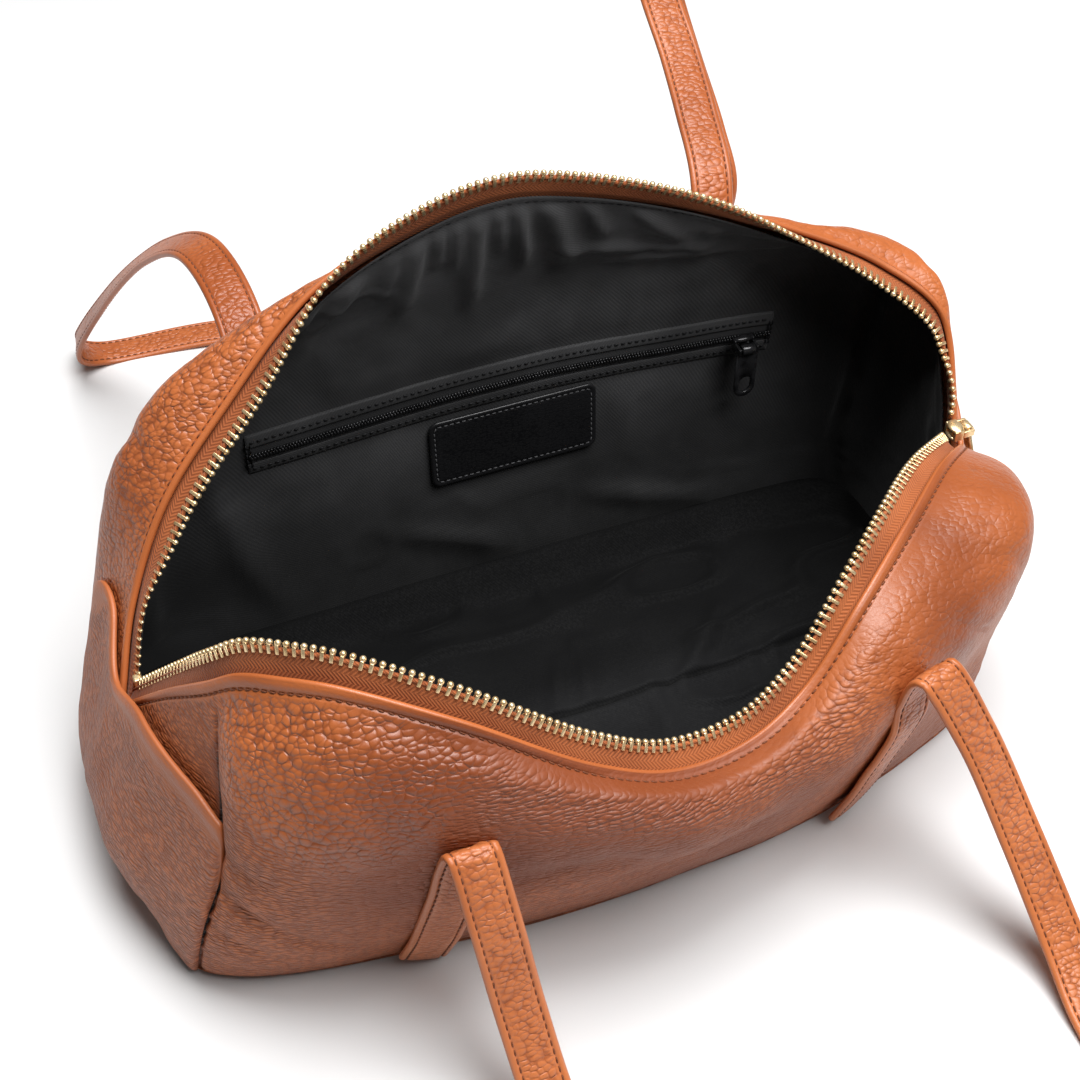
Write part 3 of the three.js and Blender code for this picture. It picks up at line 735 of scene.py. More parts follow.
TAN_LOOK = {
    "hill": (0.465, 0.128, 0.034, 1),
    "valley": (0.22, 0.052, 0.014, 1),
    "deep": (0.22, 0.05, 0.012, 1),
    "cell": 0.0027,
    "depth": 0.00045,
    "roughness": 0.37,
}
TAN_GLOSS = {"panel": 0.55, "gusset": 0.7}
TAN = {
    part: leather_material(f"{part}_leather", gloss=gloss, **TAN_LOOK)
    for part, gloss in TAN_GLOSS.items()
}
STRAP_TAN = leather_material(
    "strap_leather",
    hill=(0.55, 0.166, 0.052, 1),
    valley=(0.32, 0.080, 0.023, 1),
    deep=(0.30, 0.072, 0.018, 1),
    cell=0.0025,
    depth=0.00034,
    roughness=0.35,
    gloss=0.45,
)
LABEL_BLACK = leather_material(
    "label_leather",
    hill=(0.012, 0.012, 0.013, 1),
    valley=(0.004, 0.004, 0.005, 1),
    deep=(0.02, 0.02, 0.022, 1),
    cell=0.0012,
    depth=0.00005,
    roughness=0.30,
    gloss=0.45,
)
# One black twill in two copies: the walls' copy is lighter, painted light, and the floor's copy darker,
# painted shade
TWILL = cloth_material(
    "black_twill", (0.025, 0.025, 0.026, 1), (0.086, 0.086, 0.089, 1), pitch=0.0010, roughness=0.66,
)
FLOOR_TWILL_SHADED = cloth_material(
    "floor_twill_shaded", (0.004, 0.004, 0.0045, 1), (0.013, 0.013, 0.0135, 1),
    pitch=0.0010, roughness=0.72, sheen=0.03,
)
TAPE_CLOTH = cloth_material(
    "tan_tape", (0.17, 0.039, 0.011, 1), (0.43, 0.125, 0.038, 1),
    pitch=0.0011, roughness=0.75, chevron=0.0026, ribs=0.5,
)
POCKET_CLOTH = cloth_material(
    "pocket_tape_cloth", (0.016, 0.016, 0.017, 1), (0.07, 0.07, 0.073, 1),
    pitch=0.0009, roughness=0.65, chevron=0.002,
)
BRASS = metal_material("brass", (0.95, 0.74, 0.44, 1), (0.74, 0.51, 0.25, 1), roughness=0.32, metallic=0.82)
BLACK_METAL = metal_material(
    "black_metal", (0.03, 0.03, 0.032, 1), (0.012, 0.012, 0.013, 1), roughness=0.16, metallic=0.3,
)
TAN_THREAD = thread_material("tan_thread", (0.11, 0.03, 0.011, 1), (0.22, 0.065, 0.024, 1))
BLACK_THREAD = thread_material("black_thread", (0.004, 0.004, 0.005, 1), (0.016, 0.016, 0.018, 1))
GREY_THREAD = thread_material("grey_thread", (0.05, 0.05, 0.053, 1), (0.11, 0.11, 0.115, 1))


# Leather walls

PANEL_COLUMNS_PER_SECTION = 20
TUCK_COLUMNS = (2.31, 3.31, 41)
PANEL_BODY_ROWS = 58
# Distances below the lip of the rows that carry its roll, groove and stitches
LIP_ROWS = [
    13, 11, 9.3, 7.9, 6.8, 5.9, 5.2, 4.7, 4.3, 3.95, 3.65, 3.4, 3.15, 2.85, 2.5, 2.1, 1.6, 1.1, 0.6, 0.15,
]
LIP_DROP = 2.4
LIP_WELT = 0.55
LIP_GROOVE = 0.6
STITCH_BELOW_LIP = 3.4
STITCH_RISE = 0.3
LEAST_LEATHER = 0.8
# How far the tuck's bulge, groove and shade reach to its sides
TUCK_BULGE_FADE = 42.0
TUCK_BULGE_RISE = 9.0
TUCK_SINK = 0.08
TUCK_SINK_FADE = 8.0
TUCK_GROOVE = 0.45
TUCK_GROOVE_WIDTH = 1.1
TUCK_SHADE = 2.4
TUCK_SHADE_RIGHT = 0.9
TUCK_SHADE_LEFT = 3.6
TUCK_SHADE_PUSH = 3
CALM_BELOW_LIP = {
    # section, distance below the lip at which the grain is whole
    "front": [[5.7, 7], [6.5, 17], [9.5, 17], [10.5, 12]],
    "back": [[0, 7], [14, 7]],
}
# Sections between which the leather turns firmer and smoother, and how much
FIRM_FROM = {"front": (9.5, 11.5), "back": (6.0, 9.0)}
FIRM_SHARE = 0.55
# Lower border of the coarse leather on the front panel
COARSE_ABOVE = [
    # section, height
    [2.6, 114],
    [3.0, 105],
    [3.8, 94],
    [4.9, 86],
    [5.4, 89],
    [5.8, 102],
    [6.3, 130],
    [13.0, 160],
]
# Full leather under the lip: how far it is pushed out, and the distances below the lip
# at which the push is whole and has gone
PILLOW = {
    "front": [
        # section, push, fullAt, gone
        [0.5, 0, 20, 80],
        [1.5, 1.6, 20, 80],
        [2.5, 1.6, 20, 80],
        [3.3, 4.5, 20, 80],
        [6.0, 4.5, 18, 75],
        [7.2, 8.5, 9, 48],
        [9.6, 8.5, 9, 48],
        [10.8, 5, 14, 60],
        [12.0, 3, 20, 80],
        [13.2, 0, 20, 80],
    ],
    "back": [
        # section, push, fullAt, gone
        [1.6, 0, 22, 90],
        [3.0, 3.5, 22, 90],
        [9.0, 3.5, 22, 90],
        [11.0, 0, 22, 90],
    ],
}
ROLL_STEPS = 8


def nearest_on(line, points):
    """Distance from each point to a line of points, and which of them is nearest."""
    apart = np.linalg.norm(points[:, None] - line[None], axis=2)
    return apart.min(axis=1), apart.argmin(axis=1)


def press_folds(wall, folds, skin):
    """Outward movement of a sheet by the folds pressed into it, below 0 in a fold."""
    moved = np.zeros(len(skin))
    t = np.linspace(0, 1, 24)
    for s0, u0, s1, u1, width, depth in folds:
        line = wall.skin(s0 + (s1 - s0) * t, u0 + (u1 - u0) * t)
        away, near = nearest_on(line, skin)
        fade = np.sin(np.pi * (t[near] * 0.94 + 0.03)) ** 0.5
        moved -= depth * fade * hump(away, 0, width)
    return moved


def corner_tuck(wall, skin, section):
    """Outward movement of the leather beside the tuck at the left corner, and its shade."""
    section_at, up_at, push_at = np.array(CORNER_TUCK).T
    t = np.linspace(0, len(CORNER_TUCK) - 1, 90)
    steps = np.arange(len(CORNER_TUCK))
    tuck_section = np.interp(t, steps, section_at)
    line = wall.skin(tuck_section, np.interp(t, steps, up_at))
    away, near = nearest_on(line, skin)
    push = np.interp(t, steps, push_at)[near]
    on_right = section > tuck_section[near]
    right = np.exp(-away / TUCK_BULGE_FADE) * (1 - np.exp(-away / TUCK_BULGE_RISE))
    left = -TUCK_SINK * np.exp(-away / TUCK_SINK_FADE)
    groove = TUCK_GROOVE * hump(away, 0, TUCK_GROOVE_WIDTH)
    reach = np.where(on_right, TUCK_SHADE_RIGHT, TUCK_SHADE_LEFT)
    shade = np.clip(push / TUCK_SHADE_PUSH, 0, 1) * hump(away, 0, reach)
    return push * (np.where(on_right, right, left) - groove), shade


def panel_relief(wall, name, skin):
    """Outward movement of open leather: slack waves, soft wrinkles and folds."""
    stretch = np.array([1.0, 1.0, 1.8])
    waves = 1.1 * soft_noise(skin, 46.0, 3) + 0.5 * soft_noise(skin, 21.0, 4)
    wrinkles = 0.28 * soft_noise(skin * stretch, 8.5, 5) + 0.16 * soft_noise(skin * stretch, 4.5, 6)
    return waves + wrinkles + press_folds(wall, FOLDS[name], skin)


def coarse_grain(name, section, height):
    """Where the leather is slack enough to show its whole pebbles."""
    if name == "back":
        return 0.8 * ease(height, 40, 90)
    border = np.interp(section, *np.array(COARSE_ABOVE).T)
    left = ease(section, 2.5, 2.9) * ease(height - border, -9, 9)
    right = 0.8 * ease(section, 10.0, 11.2) * ease(height, 45, 75)
    return left + right


def dark_tone(name, section, height):
    """Painted shade: where the front leather is darkened to stand in for shade; none on the back."""
    if name == "back":
        return np.zeros(len(section))
    # Painted shade in the hollow below the lip, along the middle of the front and over its right side
    hollow = 1.2 * hump(section, 6.4, 1.2) * ease(height, 50, 75)
    slack = 0.5 * ease(section, 6.6, 8.0) * (1 - ease(section, 9.6, 10.6))
    return hollow + slack + 0.45 * ease(section, 10.2, 11.0)


def shell(wall, sections, ups, outer, inner):
    """Loops of a closed sheet over a wall: outer face, rolled top edge and inner face."""
    columns, rows = ups.shape
    skin, normal, rise = wall.frame(np.repeat(sections, rows), ups.ravel())
    skin, normal, rise = (a.reshape(columns, rows, 3) for a in (skin, normal, rise))
    middle = (outer[:, -1] + inner[:, -1])[:, None] / 2
    radius = (outer[:, -1] - inner[:, -1])[:, None] / 2
    angles = np.linspace(0, np.pi, ROLL_STEPS + 2)[1:-1][None]
    edge = (
        skin[:, -1:]
        + normal[:, -1:] * (middle + radius * np.cos(angles))[..., None]
        + rise[:, -1:] * (radius * np.sin(angles))[..., None]
    )
    face = skin + normal * outer[..., None]
    back = skin + normal * inner[..., None]
    return np.concatenate([face, edge, back[:, ::-1]], axis=1)


def around(rows_value):
    """A value given on the rows of a shell, repeated round its loops and 0 on its rolled edge."""
    edge = np.zeros((len(rows_value), ROLL_STEPS))
    return np.concatenate([rows_value, edge, rows_value[:, ::-1]], axis=1)


def make_panel(name):
    """Leather wall with its rolled lip. Gives back the stitches below the lip."""
    wall = WALLS[name]
    sections = np.linspace(0, wall.last, wall.last * PANEL_COLUMNS_PER_SECTION + 1)
    if name == "front":
        sections = np.unique(np.concatenate([sections, np.linspace(*TUCK_COLUMNS)]))
    lengths = wall.length(sections)[:, None]
    lip = 1 - LIP_DROP / lengths
    body_top = lip - LIP_ROWS[0] / lengths
    body = body_top * np.linspace(0, 1, PANEL_BODY_ROWS, endpoint=False)[None]
    ups = np.concatenate([body, lip - np.array(LIP_ROWS)[None] / lengths], axis=1)
    below = (lip - ups) * lengths
    flat_sections = np.repeat(sections, ups.shape[1])
    skin = wall.skin(flat_sections, ups.ravel())
    relief = panel_relief(wall, name, skin).reshape(ups.shape)
    height = skin[:, 2].reshape(ups.shape)
    seam = ease(np.minimum(flat_sections, wall.last - flat_sections), 0.0, 0.6).reshape(ups.shape)
    open_leather = ease(below, 3.0, 22.0) * ease(height, 3.0, 14.0) * seam
    welt = LIP_WELT * hump(below, 1.1, 1.4)
    groove = LIP_GROOVE * hump(below, STITCH_BELOW_LIP, 0.55)
    foot = 1.2 * (1 - ease(height, 2.9, 8.0))
    at, push, full_at, gone = np.array(PILLOW[name], float).T
    push, full_at, gone = (np.interp(sections, at, column)[:, None] for column in (push, full_at, gone))
    pillow = push * ease(below, 1.0, full_at) * (1 - ease(below, 1.3 * full_at, gone))
    outer = relief * open_leather + pillow + welt - groove - foot
    # Painted shade on the leather, with near-black painted shade beside the tuck's crease
    tone = dark_tone(name, flat_sections, skin[:, 2])
    if name == "front":
        push, shade = corner_tuck(wall, skin, flat_sections)
        outer += push.reshape(ups.shape) * ease(below, 3.0, 14.0)
        tone = np.maximum(tone, TUCK_SHADE * shade * ease(below, 12.0, 22.0).ravel())
    inner = np.minimum(outer - LEAST_LEATHER, -LEATHER)
    loops = shell(wall, sections, ups, outer, inner)
    firm = FIRM_SHARE * ease(flat_sections, *FIRM_FROM[name]).reshape(ups.shape)
    calm_to = np.interp(sections, *np.array(CALM_BELOW_LIP[name]).T)[:, None]
    grain = around((0.12 + 0.88 * ease(below, 3.4, calm_to)) * (1 - firm))
    fine = around(1 - coarse_grain(name, flat_sections, skin[:, 2]).reshape(ups.shape))
    tone = around(tone.reshape(ups.shape))
    loop_piece(
        f"{name}_leather", loops, TAN["panel"], "leather", [f"{name}_panel"],
        grain=grain, fine=fine, tone=tone,
    )
    row = PANEL_BODY_ROWS + LIP_ROWS.index(STITCH_BELOW_LIP)
    _, out, _ = wall.frame(sections, ups[:, row])
    return stitch_row(loops[:, row] + out * STITCH_RISE, out, "lip")


stitch_piece("lip_stitches", [make_panel("front"), make_panel("back")], "lip", TAN_THREAD, "leather")

# Gussets: an end sheet over each seam with a rolled free top edge

GUSSET_COLUMNS_PER_SECTION = 22
GUSSET_ROWS = 46
GUSSET_SPAN = 150.0
GUSSET_RUN_ON = 0.2
GUSSET_EDGE = {"front": 5.0, "back": 22.0}
GUSSET_EDGE_DROP = 18.0
GUSSET_EDGE_PROUD = 0.35
GUSSET_MOST_UP = 1.3
# Where each gusset lies on both walls, the heights of its top edge from the front corner to the back,
# how far that edge stands off, and how strong its grain is
GUSSETS = {
    "left_gusset": {
        "front": (3, 0),
        "back": (0, 4 / 3),
        "top": [86, 90, 90, 80, 95],
        "flare": [0.3, 1.2, 1.3, 0.5, 0.0],
        "grain": 1.0,
    },
    "right_gusset": {
        "front": (13 + 2 / 3, 15),
        "back": (13, 11 + 1 / 3),
        "top": [88, 84, 76, 86, 102],
        "flare": [0.3, 0.8, 0.4, 1.2, 0.4],
        "grain": 0.5,
    },
}


def gusset_columns(start, end):
    return np.linspace(start, end, int(abs(end - start) * GUSSET_COLUMNS_PER_SECTION) + 1)


def gusset_places(gusset):
    """Wall, sections and places along the gusset, front corner to back corner, and the last place."""
    front_from, front_to = gusset["front"]
    back_from, back_to = gusset["back"]
    front_sections = gusset_columns(front_from, front_to)
    total = abs(front_to - front_from) + abs(back_to - back_from)
    back_end = back_to + math.copysign(GUSSET_RUN_ON, back_to - back_from)
    back_sections = gusset_columns(back_from, back_end)[1:]
    front_place = np.abs(front_sections - front_from) / total
    back_place = (abs(front_to - front_from) + np.abs(back_sections - back_from)) / total
    places = [("front", front_sections, front_place), ("back", back_sections, back_place)]
    return places, 1 + GUSSET_RUN_ON / total


def smooth_table(values, place):
    """A short table of numbers read smoothly at places from 0 to 1."""
    points = np.column_stack([values, np.zeros(len(values)), np.zeros(len(values))]).astype(float)
    return even_spline(points, place * (len(values) - 1))[:, 0]


def make_gusset(name, gusset):
    """End sheet whose side edges run out on the walls under it."""
    parts = []
    grains = []
    places, last = gusset_places(gusset)
    for wall_name, sections, place in places:
        wall = WALLS[wall_name]
        ends = np.minimum(place / GUSSET_EDGE["front"], (last - place) / GUSSET_EDGE["back"])
        dive = np.sqrt(1 - (1 - np.clip(ends * GUSSET_SPAN, 0, 1)) ** 2)[:, None]
        heights = smooth_table(gusset["top"], np.minimum(place, 1)) - GUSSET_EDGE_DROP * (1 - dive[:, 0])
        top = wall.up_at(sections, heights, GUSSET_MOST_UP)[:, None]
        ups = top * (1 - (1 - np.linspace(0, 1, GUSSET_ROWS)[None]) ** 1.25)
        below = (top - ups) * wall.length(sections)[:, None]
        skin = wall.skin(np.repeat(sections, GUSSET_ROWS), ups.ravel())
        waves = 0.9 * soft_noise(skin, 34.0, 11) + 0.4 * soft_noise(skin * (1.7, 1.7, 1.0), 10.0, 12)
        lift = smooth_table(gusset["flare"], place)[:, None] * (1 - ease(below, 0.0, 34.0))
        roll = 0.7 * hump(below, 1.5, 2.0)
        crease = 0.35 * hump(below, 5.6, 1.2)
        foot = 1.0 * (1 - ease(skin[:, 2].reshape(ups.shape), 2.9, 8.0))
        slack = waves.reshape(ups.shape) * ease(below, 2.0, 16.0)
        proud = GUSSET_CLEARANCE + LEATHER + slack + roll - crease - foot
        outer = GUSSET_EDGE_PROUD + (proud - GUSSET_EDGE_PROUD) * dive + lift * dive
        inner = np.minimum(outer - 0.3, GUSSET_CLEARANCE * dive + 0.05 + lift * dive)
        parts.append(shell(wall, sections, ups, outer, inner))
        grains.append(around((0.15 + 0.85 * ease(below, 4.5, 12.0)) * gusset["grain"]))
    loops = np.concatenate(parts)
    fine = np.ones(loops.shape[:2])
    grain = np.concatenate(grains)
    loop_piece(f"{name}_leather", loops, TAN["gusset"], "leather", [name], grain=grain, fine=fine)


for gusset_name, gusset in GUSSETS.items():
    make_gusset(gusset_name, gusset)

# Base: a flat sheet inside the feet of both walls

BASE_COLUMNS = 160
BASE_ROWS = 40
BASE_DEPTH = 150.0


def base_outline(inset):
    """Front and back edges of the base, left to right, moved inwards."""
    edges = []
    for name in ("front", "back"):
        wall = WALLS[name]
        sections = np.linspace(0, wall.last, BASE_COLUMNS)
        line = wall.skin(sections, np.zeros(BASE_COLUMNS))
        along = unit(np.gradient(line, axis=0))
        inward = np.stack([-along[:, 1], along[:, 0], np.zeros(BASE_COLUMNS)], axis=1) * -wall.side
        edges.append(line + inward * inset)
    return edges


def base_grid(inset, rows):
    front_edge, back_edge = base_outline(inset)
    share = np.linspace(0, 1, rows)[None, :, None]
    return front_edge[:, None] * (1 - share) + back_edge[:, None] * share


def make_base():
    """Flat leather bottom with rounded front and back edges."""
    low = base_grid(BASE_INSET, BASE_ROWS)
    across = np.linspace(0, 1, BASE_ROWS)
    rim = np.minimum(across, 1 - across)[None] * BASE_DEPTH
    low[..., 2] = 1.1 * (1 - ease(rim, 0.0, 5.0)) * np.ones((BASE_COLUMNS, 1))
    high = low.copy()
    high[..., 2] = BASE_THICKNESS - 0.5 * (1 - ease(rim, 0.0, 4.0))
    loops = np.concatenate([low, high[:, ::-1]], axis=1)
    whole = np.ones(loops.shape[:2])
    loop_piece("base_leather", loops, TAN["panel"], "leather", ["base_panel"], grain=whole, fine=whole)


make_base()

# Handles: sewn band, free strap, sewn band

HANDLE_STATIONS = 620
STRAP_STITCH_IN = 2.6
STRAP_EDGE_TURN = 1.7
STRAP_FACE_DROP = 0.25
STRAP_THREAD_RISE = 0.22
# Painted shade over each strap: the back strap is darkened where more light falls on it
STRAP_SHADE = {"front": 0.0, "back": 0.55}
BAND_POINTS = 7
BAND_RUN_ON = 8
# Distances from the strap's middle line of the rows on half of its face
STRAP_FACE_ROWS = [8.6, 8.1, 7.4, 6.9, 6.65, 6.4, 6.15, 5.9, 5.4, 4.0, 2.0, 0.0]


def strap_height(across):
    """Half thickness of the strap at a distance from its middle line."""
    side = np.abs(across)
    bent = np.clip(side - (STRAP_WIDTH / 2 - STRAP_EDGE_TURN), 0, STRAP_EDGE_TURN) / STRAP_EDGE_TURN
    edge = np.sqrt(np.clip(1 - bent**2, 0, 1))
    groove = 0.42 * hump(side, STRAP_WIDTH / 2 - STRAP_STITCH_IN, 0.42)
    crown = 0.3 * (1 - ease(side, 3.5, 6.3))
    return (STRAP_THICKNESS / 2 - STRAP_FACE_DROP) * edge - groove + crown


def strap_ring():
    """Cross-section of a strap as (across, out) pairs, and its grain."""
    face = [*STRAP_FACE_ROWS, *[-w for w in reversed(STRAP_FACE_ROWS[:-1])]]
    top = [(w, float(strap_height(w))) for w in face]
    reach = STRAP_WIDTH / 2
    thick = STRAP_THICKNESS / 2 - STRAP_FACE_DROP
    edge = [(-reach, thick * 0.28), (-reach + 0.12, 0.06), (-reach + 0.12, -0.06), (-reach, -thick * 0.28)]
    ring = top + edge + [(-w, -h) for w, h in top] + [(-w, -h) for w, h in edge]
    pairs = np.array(ring)
    grain = 0.1 + 0.9 * (1 - ease(np.abs(pairs[:, 0]), 4.6, 6.2))
    return pairs, grain


def handle_path(name, route):
    """Middle line of a handle, its width and outward directions, and its length."""
    wall = WALLS[name]
    middle = -STRAP_CLEARANCE - STRAP_THICKNESS / 2
    heights = np.linspace(BAND_FOOT, BAND_TOP, BAND_POINTS)

    def band(section, sign):
        sections = np.full(BAND_POINTS, section)
        places = wall.point(sections, wall.up_at(sections, heights), np.full(BAND_POINTS, middle))
        beside = np.array([section - 0.05, section + 0.05])
        low, high = wall.skin(beside, np.array([0.5, 0.5]))
        return places, np.repeat(unit(high - low)[None] * sign, BAND_POINTS, axis=0)

    table = np.array(route, float)
    left, left_width = band(BAND_SECTIONS[name][0], 1)
    right, right_width = band(BAND_SECTIONS[name][1], -1)
    places = np.concatenate([left, table[:, :3], right[::-1]])
    widths = np.concatenate([left_width, table[:, 3:], right_width[::-1]])
    dense = np.linspace(0, len(places) - 1, 6000)
    line = spline(places, dense)
    lengths = arc_lengths(line)
    at = np.interp(np.linspace(0, lengths[-1], HANDLE_STATIONS), lengths, dense)
    centre = spline(places, at)
    along = unit(np.gradient(centre, axis=0))
    width = even_spline(widths, at)
    width = unit(width - along * np.sum(width * along, axis=1, keepdims=True))
    return centre, width, np.cross(along, width), lengths[-1]


def make_handle(name, route):
    """Strap from band to band, with stitches on both faces but not between band and wall."""
    centre, width, out, total = handle_path(name, route)
    wall = WALLS[name]
    pairs, ring_grain = strap_ring()
    slack = 0.35 * soft_noise(centre, 30.0, 21)[:, None]
    bow = (pairs[:, 0] / 9.0) ** 2 * slack
    rise = (pairs[None, :, 1] + bow)[..., None]
    loops = centre[:, None] + width[:, None] * pairs[None, :, 0:1] + out[:, None] * rise
    grain = np.repeat(ring_grain[None], len(centre), axis=0)
    # Painted shade over the whole strap
    tone = np.full(grain.size, STRAP_SHADE[name])
    loop_piece(f"{name}_strap", loops, STRAP_TAN, "leather", [f"{name}_handle"], grain=grain, tone=tone)
    arcs = np.linspace(0, total, len(centre))
    band_length = BAND_TOP - BAND_FOOT + BAND_RUN_ON
    on_band = (arcs < band_length) | (arcs > total - band_length)
    _, wall_out, _ = wall.frame(np.array([BAND_SECTIONS[name][0]]), np.array([0.4]))
    away = np.sign(np.sum(out[6] * wall_out[0]))
    rows = []
    inset = STRAP_WIDTH / 2 - STRAP_STITCH_IN
    sunk = float(strap_height(inset)) + STRAP_THREAD_RISE
    for side in (-1, 1):
        for face in (-1, 1):
            keep = np.ones(len(centre), bool) if face == away else ~on_band
            line = (centre + width * side * inset + out * face * sunk)[keep]
            rows.append(stitch_row(line, (out * face)[keep], "strap"))
    stitch_piece(f"{name}_strap_stitches", rows, "strap", TAN_THREAD, "leather")


make_handle("front", FRONT_STRAP_ROUTE)
make_handle("back", BACK_STRAP_ROUTE)

# Zip: woven tapes, the cord bead along their edge and single brass teeth

TAPE_STEPS = 18
TAPE_THIN = 0.7
TAPE_ROWS_BELOW_LIP = 6
BEAD_RADIUS = 0.85
BEAD_SIDES = 10
CORD_RISE = TAPE_ABOVE_LIP + 1.0


def make_tape(name):
    """Tape and cord of one side. Gives back the cord's line and its upward and outward directions."""
    wall = WALLS[name]
    sections = np.linspace(0, wall.last - TAPE_END, wall.last * TAPE_STEPS)
    middle = LEATHER + GAP + TAPE / 2
    below = np.linspace(TAPE_BELOW_LIP, 0, TAPE_ROWS_BELOW_LIP)
    rises = np.linspace(0, CORD_RISE, 8)[1:]
    ones = np.ones(len(sections))

    def face(depth):
        under = [wall.point(sections, wall.up_below_lip(sections, b), depth * ones) for b in below]
        over = [wall.above(sections, r * ones, depth * ones) for r in rises]
        return np.stack(under + over, axis=1)

    outer = face(middle - TAPE_THIN / 2)
    inner = face(middle + TAPE_THIN / 2)
    loops = np.concatenate([outer, inner[:, ::-1]], axis=1)
    lengths = arc_lengths(outer[:, TAPE_ROWS_BELOW_LIP])
    heights = np.concatenate([TAPE_BELOW_LIP - below, TAPE_BELOW_LIP + rises])
    uv = flat_pairs(lengths, np.concatenate([heights, heights[::-1]]))
    loop_piece(f"{name}_tape", loops, TAPE_CLOTH, "zip_tape", [f"{name}_zip_tape"], uv=uv)
    edge = wall.above(sections, CORD_RISE * ones, middle * ones)
    up = unit(edge - wall.above(sections, 0 * ones, middle * ones))
    out = unit(face(0.0)[:, TAPE_ROWS_BELOW_LIP] - inner[:, TAPE_ROWS_BELOW_LIP])
    angles = np.linspace(0, 2 * np.pi, BEAD_SIDES, endpoint=False)
    sines, cosines = np.sin(angles)[None, :, None], np.cos(angles)[None, :, None]
    bead = edge[:, None] + BEAD_RADIUS * (up[:, None] * sines + out[:, None] * cosines)
    bead_uv = flat_pairs(lengths, angles * BEAD_RADIUS)
    loop_piece(f"{name}_zip_cord", bead, TAPE_CLOTH, "zip_tape", uv=bead_uv)
    return edge, up, out


def tooth_shape():
    """One tooth: X along the chain, Y through the tape, Z away from the lip."""
    def build(work):
        for side in (-1, 1):
            block(work, (0, side * 0.85, 0.2), (1.3, 0.6, 3.2), 0.27)
        ball(work, (0, 0, 2.2), (2.3, 2.4, 2.3), 12, 8)
    return template(build)


def make_teeth(name, edge, up, out):
    """Single teeth on one cord, slimmer near the zip's left end where the rows come close."""
    total = arc_lengths(edge)[-1]
    start = TOOTH_MARGIN_START
    end = total - TOOTH_MARGIN_END
    count = round((end - start) / TOOTH_PITCH)
    wanted = start + (np.arange(count) + 0.5) * (end - start) / count
    centre, up_at, out_at = along_line(edge, wanted, up, out)
    ahead = along_line(edge, wanted + 0.5)[0]
    along = unit(ahead - centre)
    up_at = unit(up_at - along * np.sum(up_at * along, axis=1, keepdims=True))
    through = unit(np.cross(up_at, along))
    slim = (0.6 + 0.4 * ease(wanted, 25.0, 80.0))[:, None]
    points, faces = repeated(tooth_shape(), centre, along * slim, through * slim, up_at)
    piece(f"{name}_teeth", points, faces, BRASS, "brass", [f"{name}_zip_teeth"], closed=False)


for wall_name in ("front", "back"):
    make_teeth(wall_name, *make_tape(wall_name))

# Inner pocket: a stitched slit with a coil zip

POCKET_COLUMNS = 240
POCKET_SLIT = 4.8
FOLDED_EDGE = [
    # towards the slit, rise off the lining
    (-5.5, 0.1),
    (-4.0, 0.7),
    (-2.0, 1.1),
    (-1.0, 1.25),
    (0.2, 1.35),
    (0.7, 1.2),
    (0.8, 1.0),
    (0.4, 0.8),
    (-2.0, 0.3),
    (-4.5, -0.1),
]
POCKET_TAPE_ROWS = np.array([-5.0, -4.0, -2.6, -1.3, 0.0, 1.3, 2.6, 4.0, 5.0])
POCKET_TAPE_FACE = LINING_FACE + 0.7
POCKET_TAPE_THIN = 0.5
POCKET_STITCH_OUT = 2.0
POCKET_END_POINTS = 12
COIL_PITCH = 1.25
COIL_BEAD = (1.2, 1.7, 1.6)
COIL_OFFSET = 0.62


def pocket_height(section):
    t = (section - POCKET["from"]) / (POCKET["to"] - POCKET["from"])
    straight = POCKET["left_height"] + (POCKET["right_height"] - POCKET["left_height"]) * t
    return straight + POCKET["arch"] * 4 * t * (1 - t)


def pocket_line(sections, offset, depth):
    """Line above or below the pocket's slit, and its direction into the bag."""
    wall = WALLS["back"]
    ups = wall.up_at(sections, pocket_height(sections) + offset)
    skin, out, _ = wall.frame(sections, ups)
    return skin - out * depth, -out


# Lining: twill sheets that hang inside the walls, gathered under the lip

LINING_COLUMNS_PER_SECTION = 16
LINING_ROWS = 70
LINING_UV_ROW = 40
LINING_STITCH_BELOW_LIP = 5.6
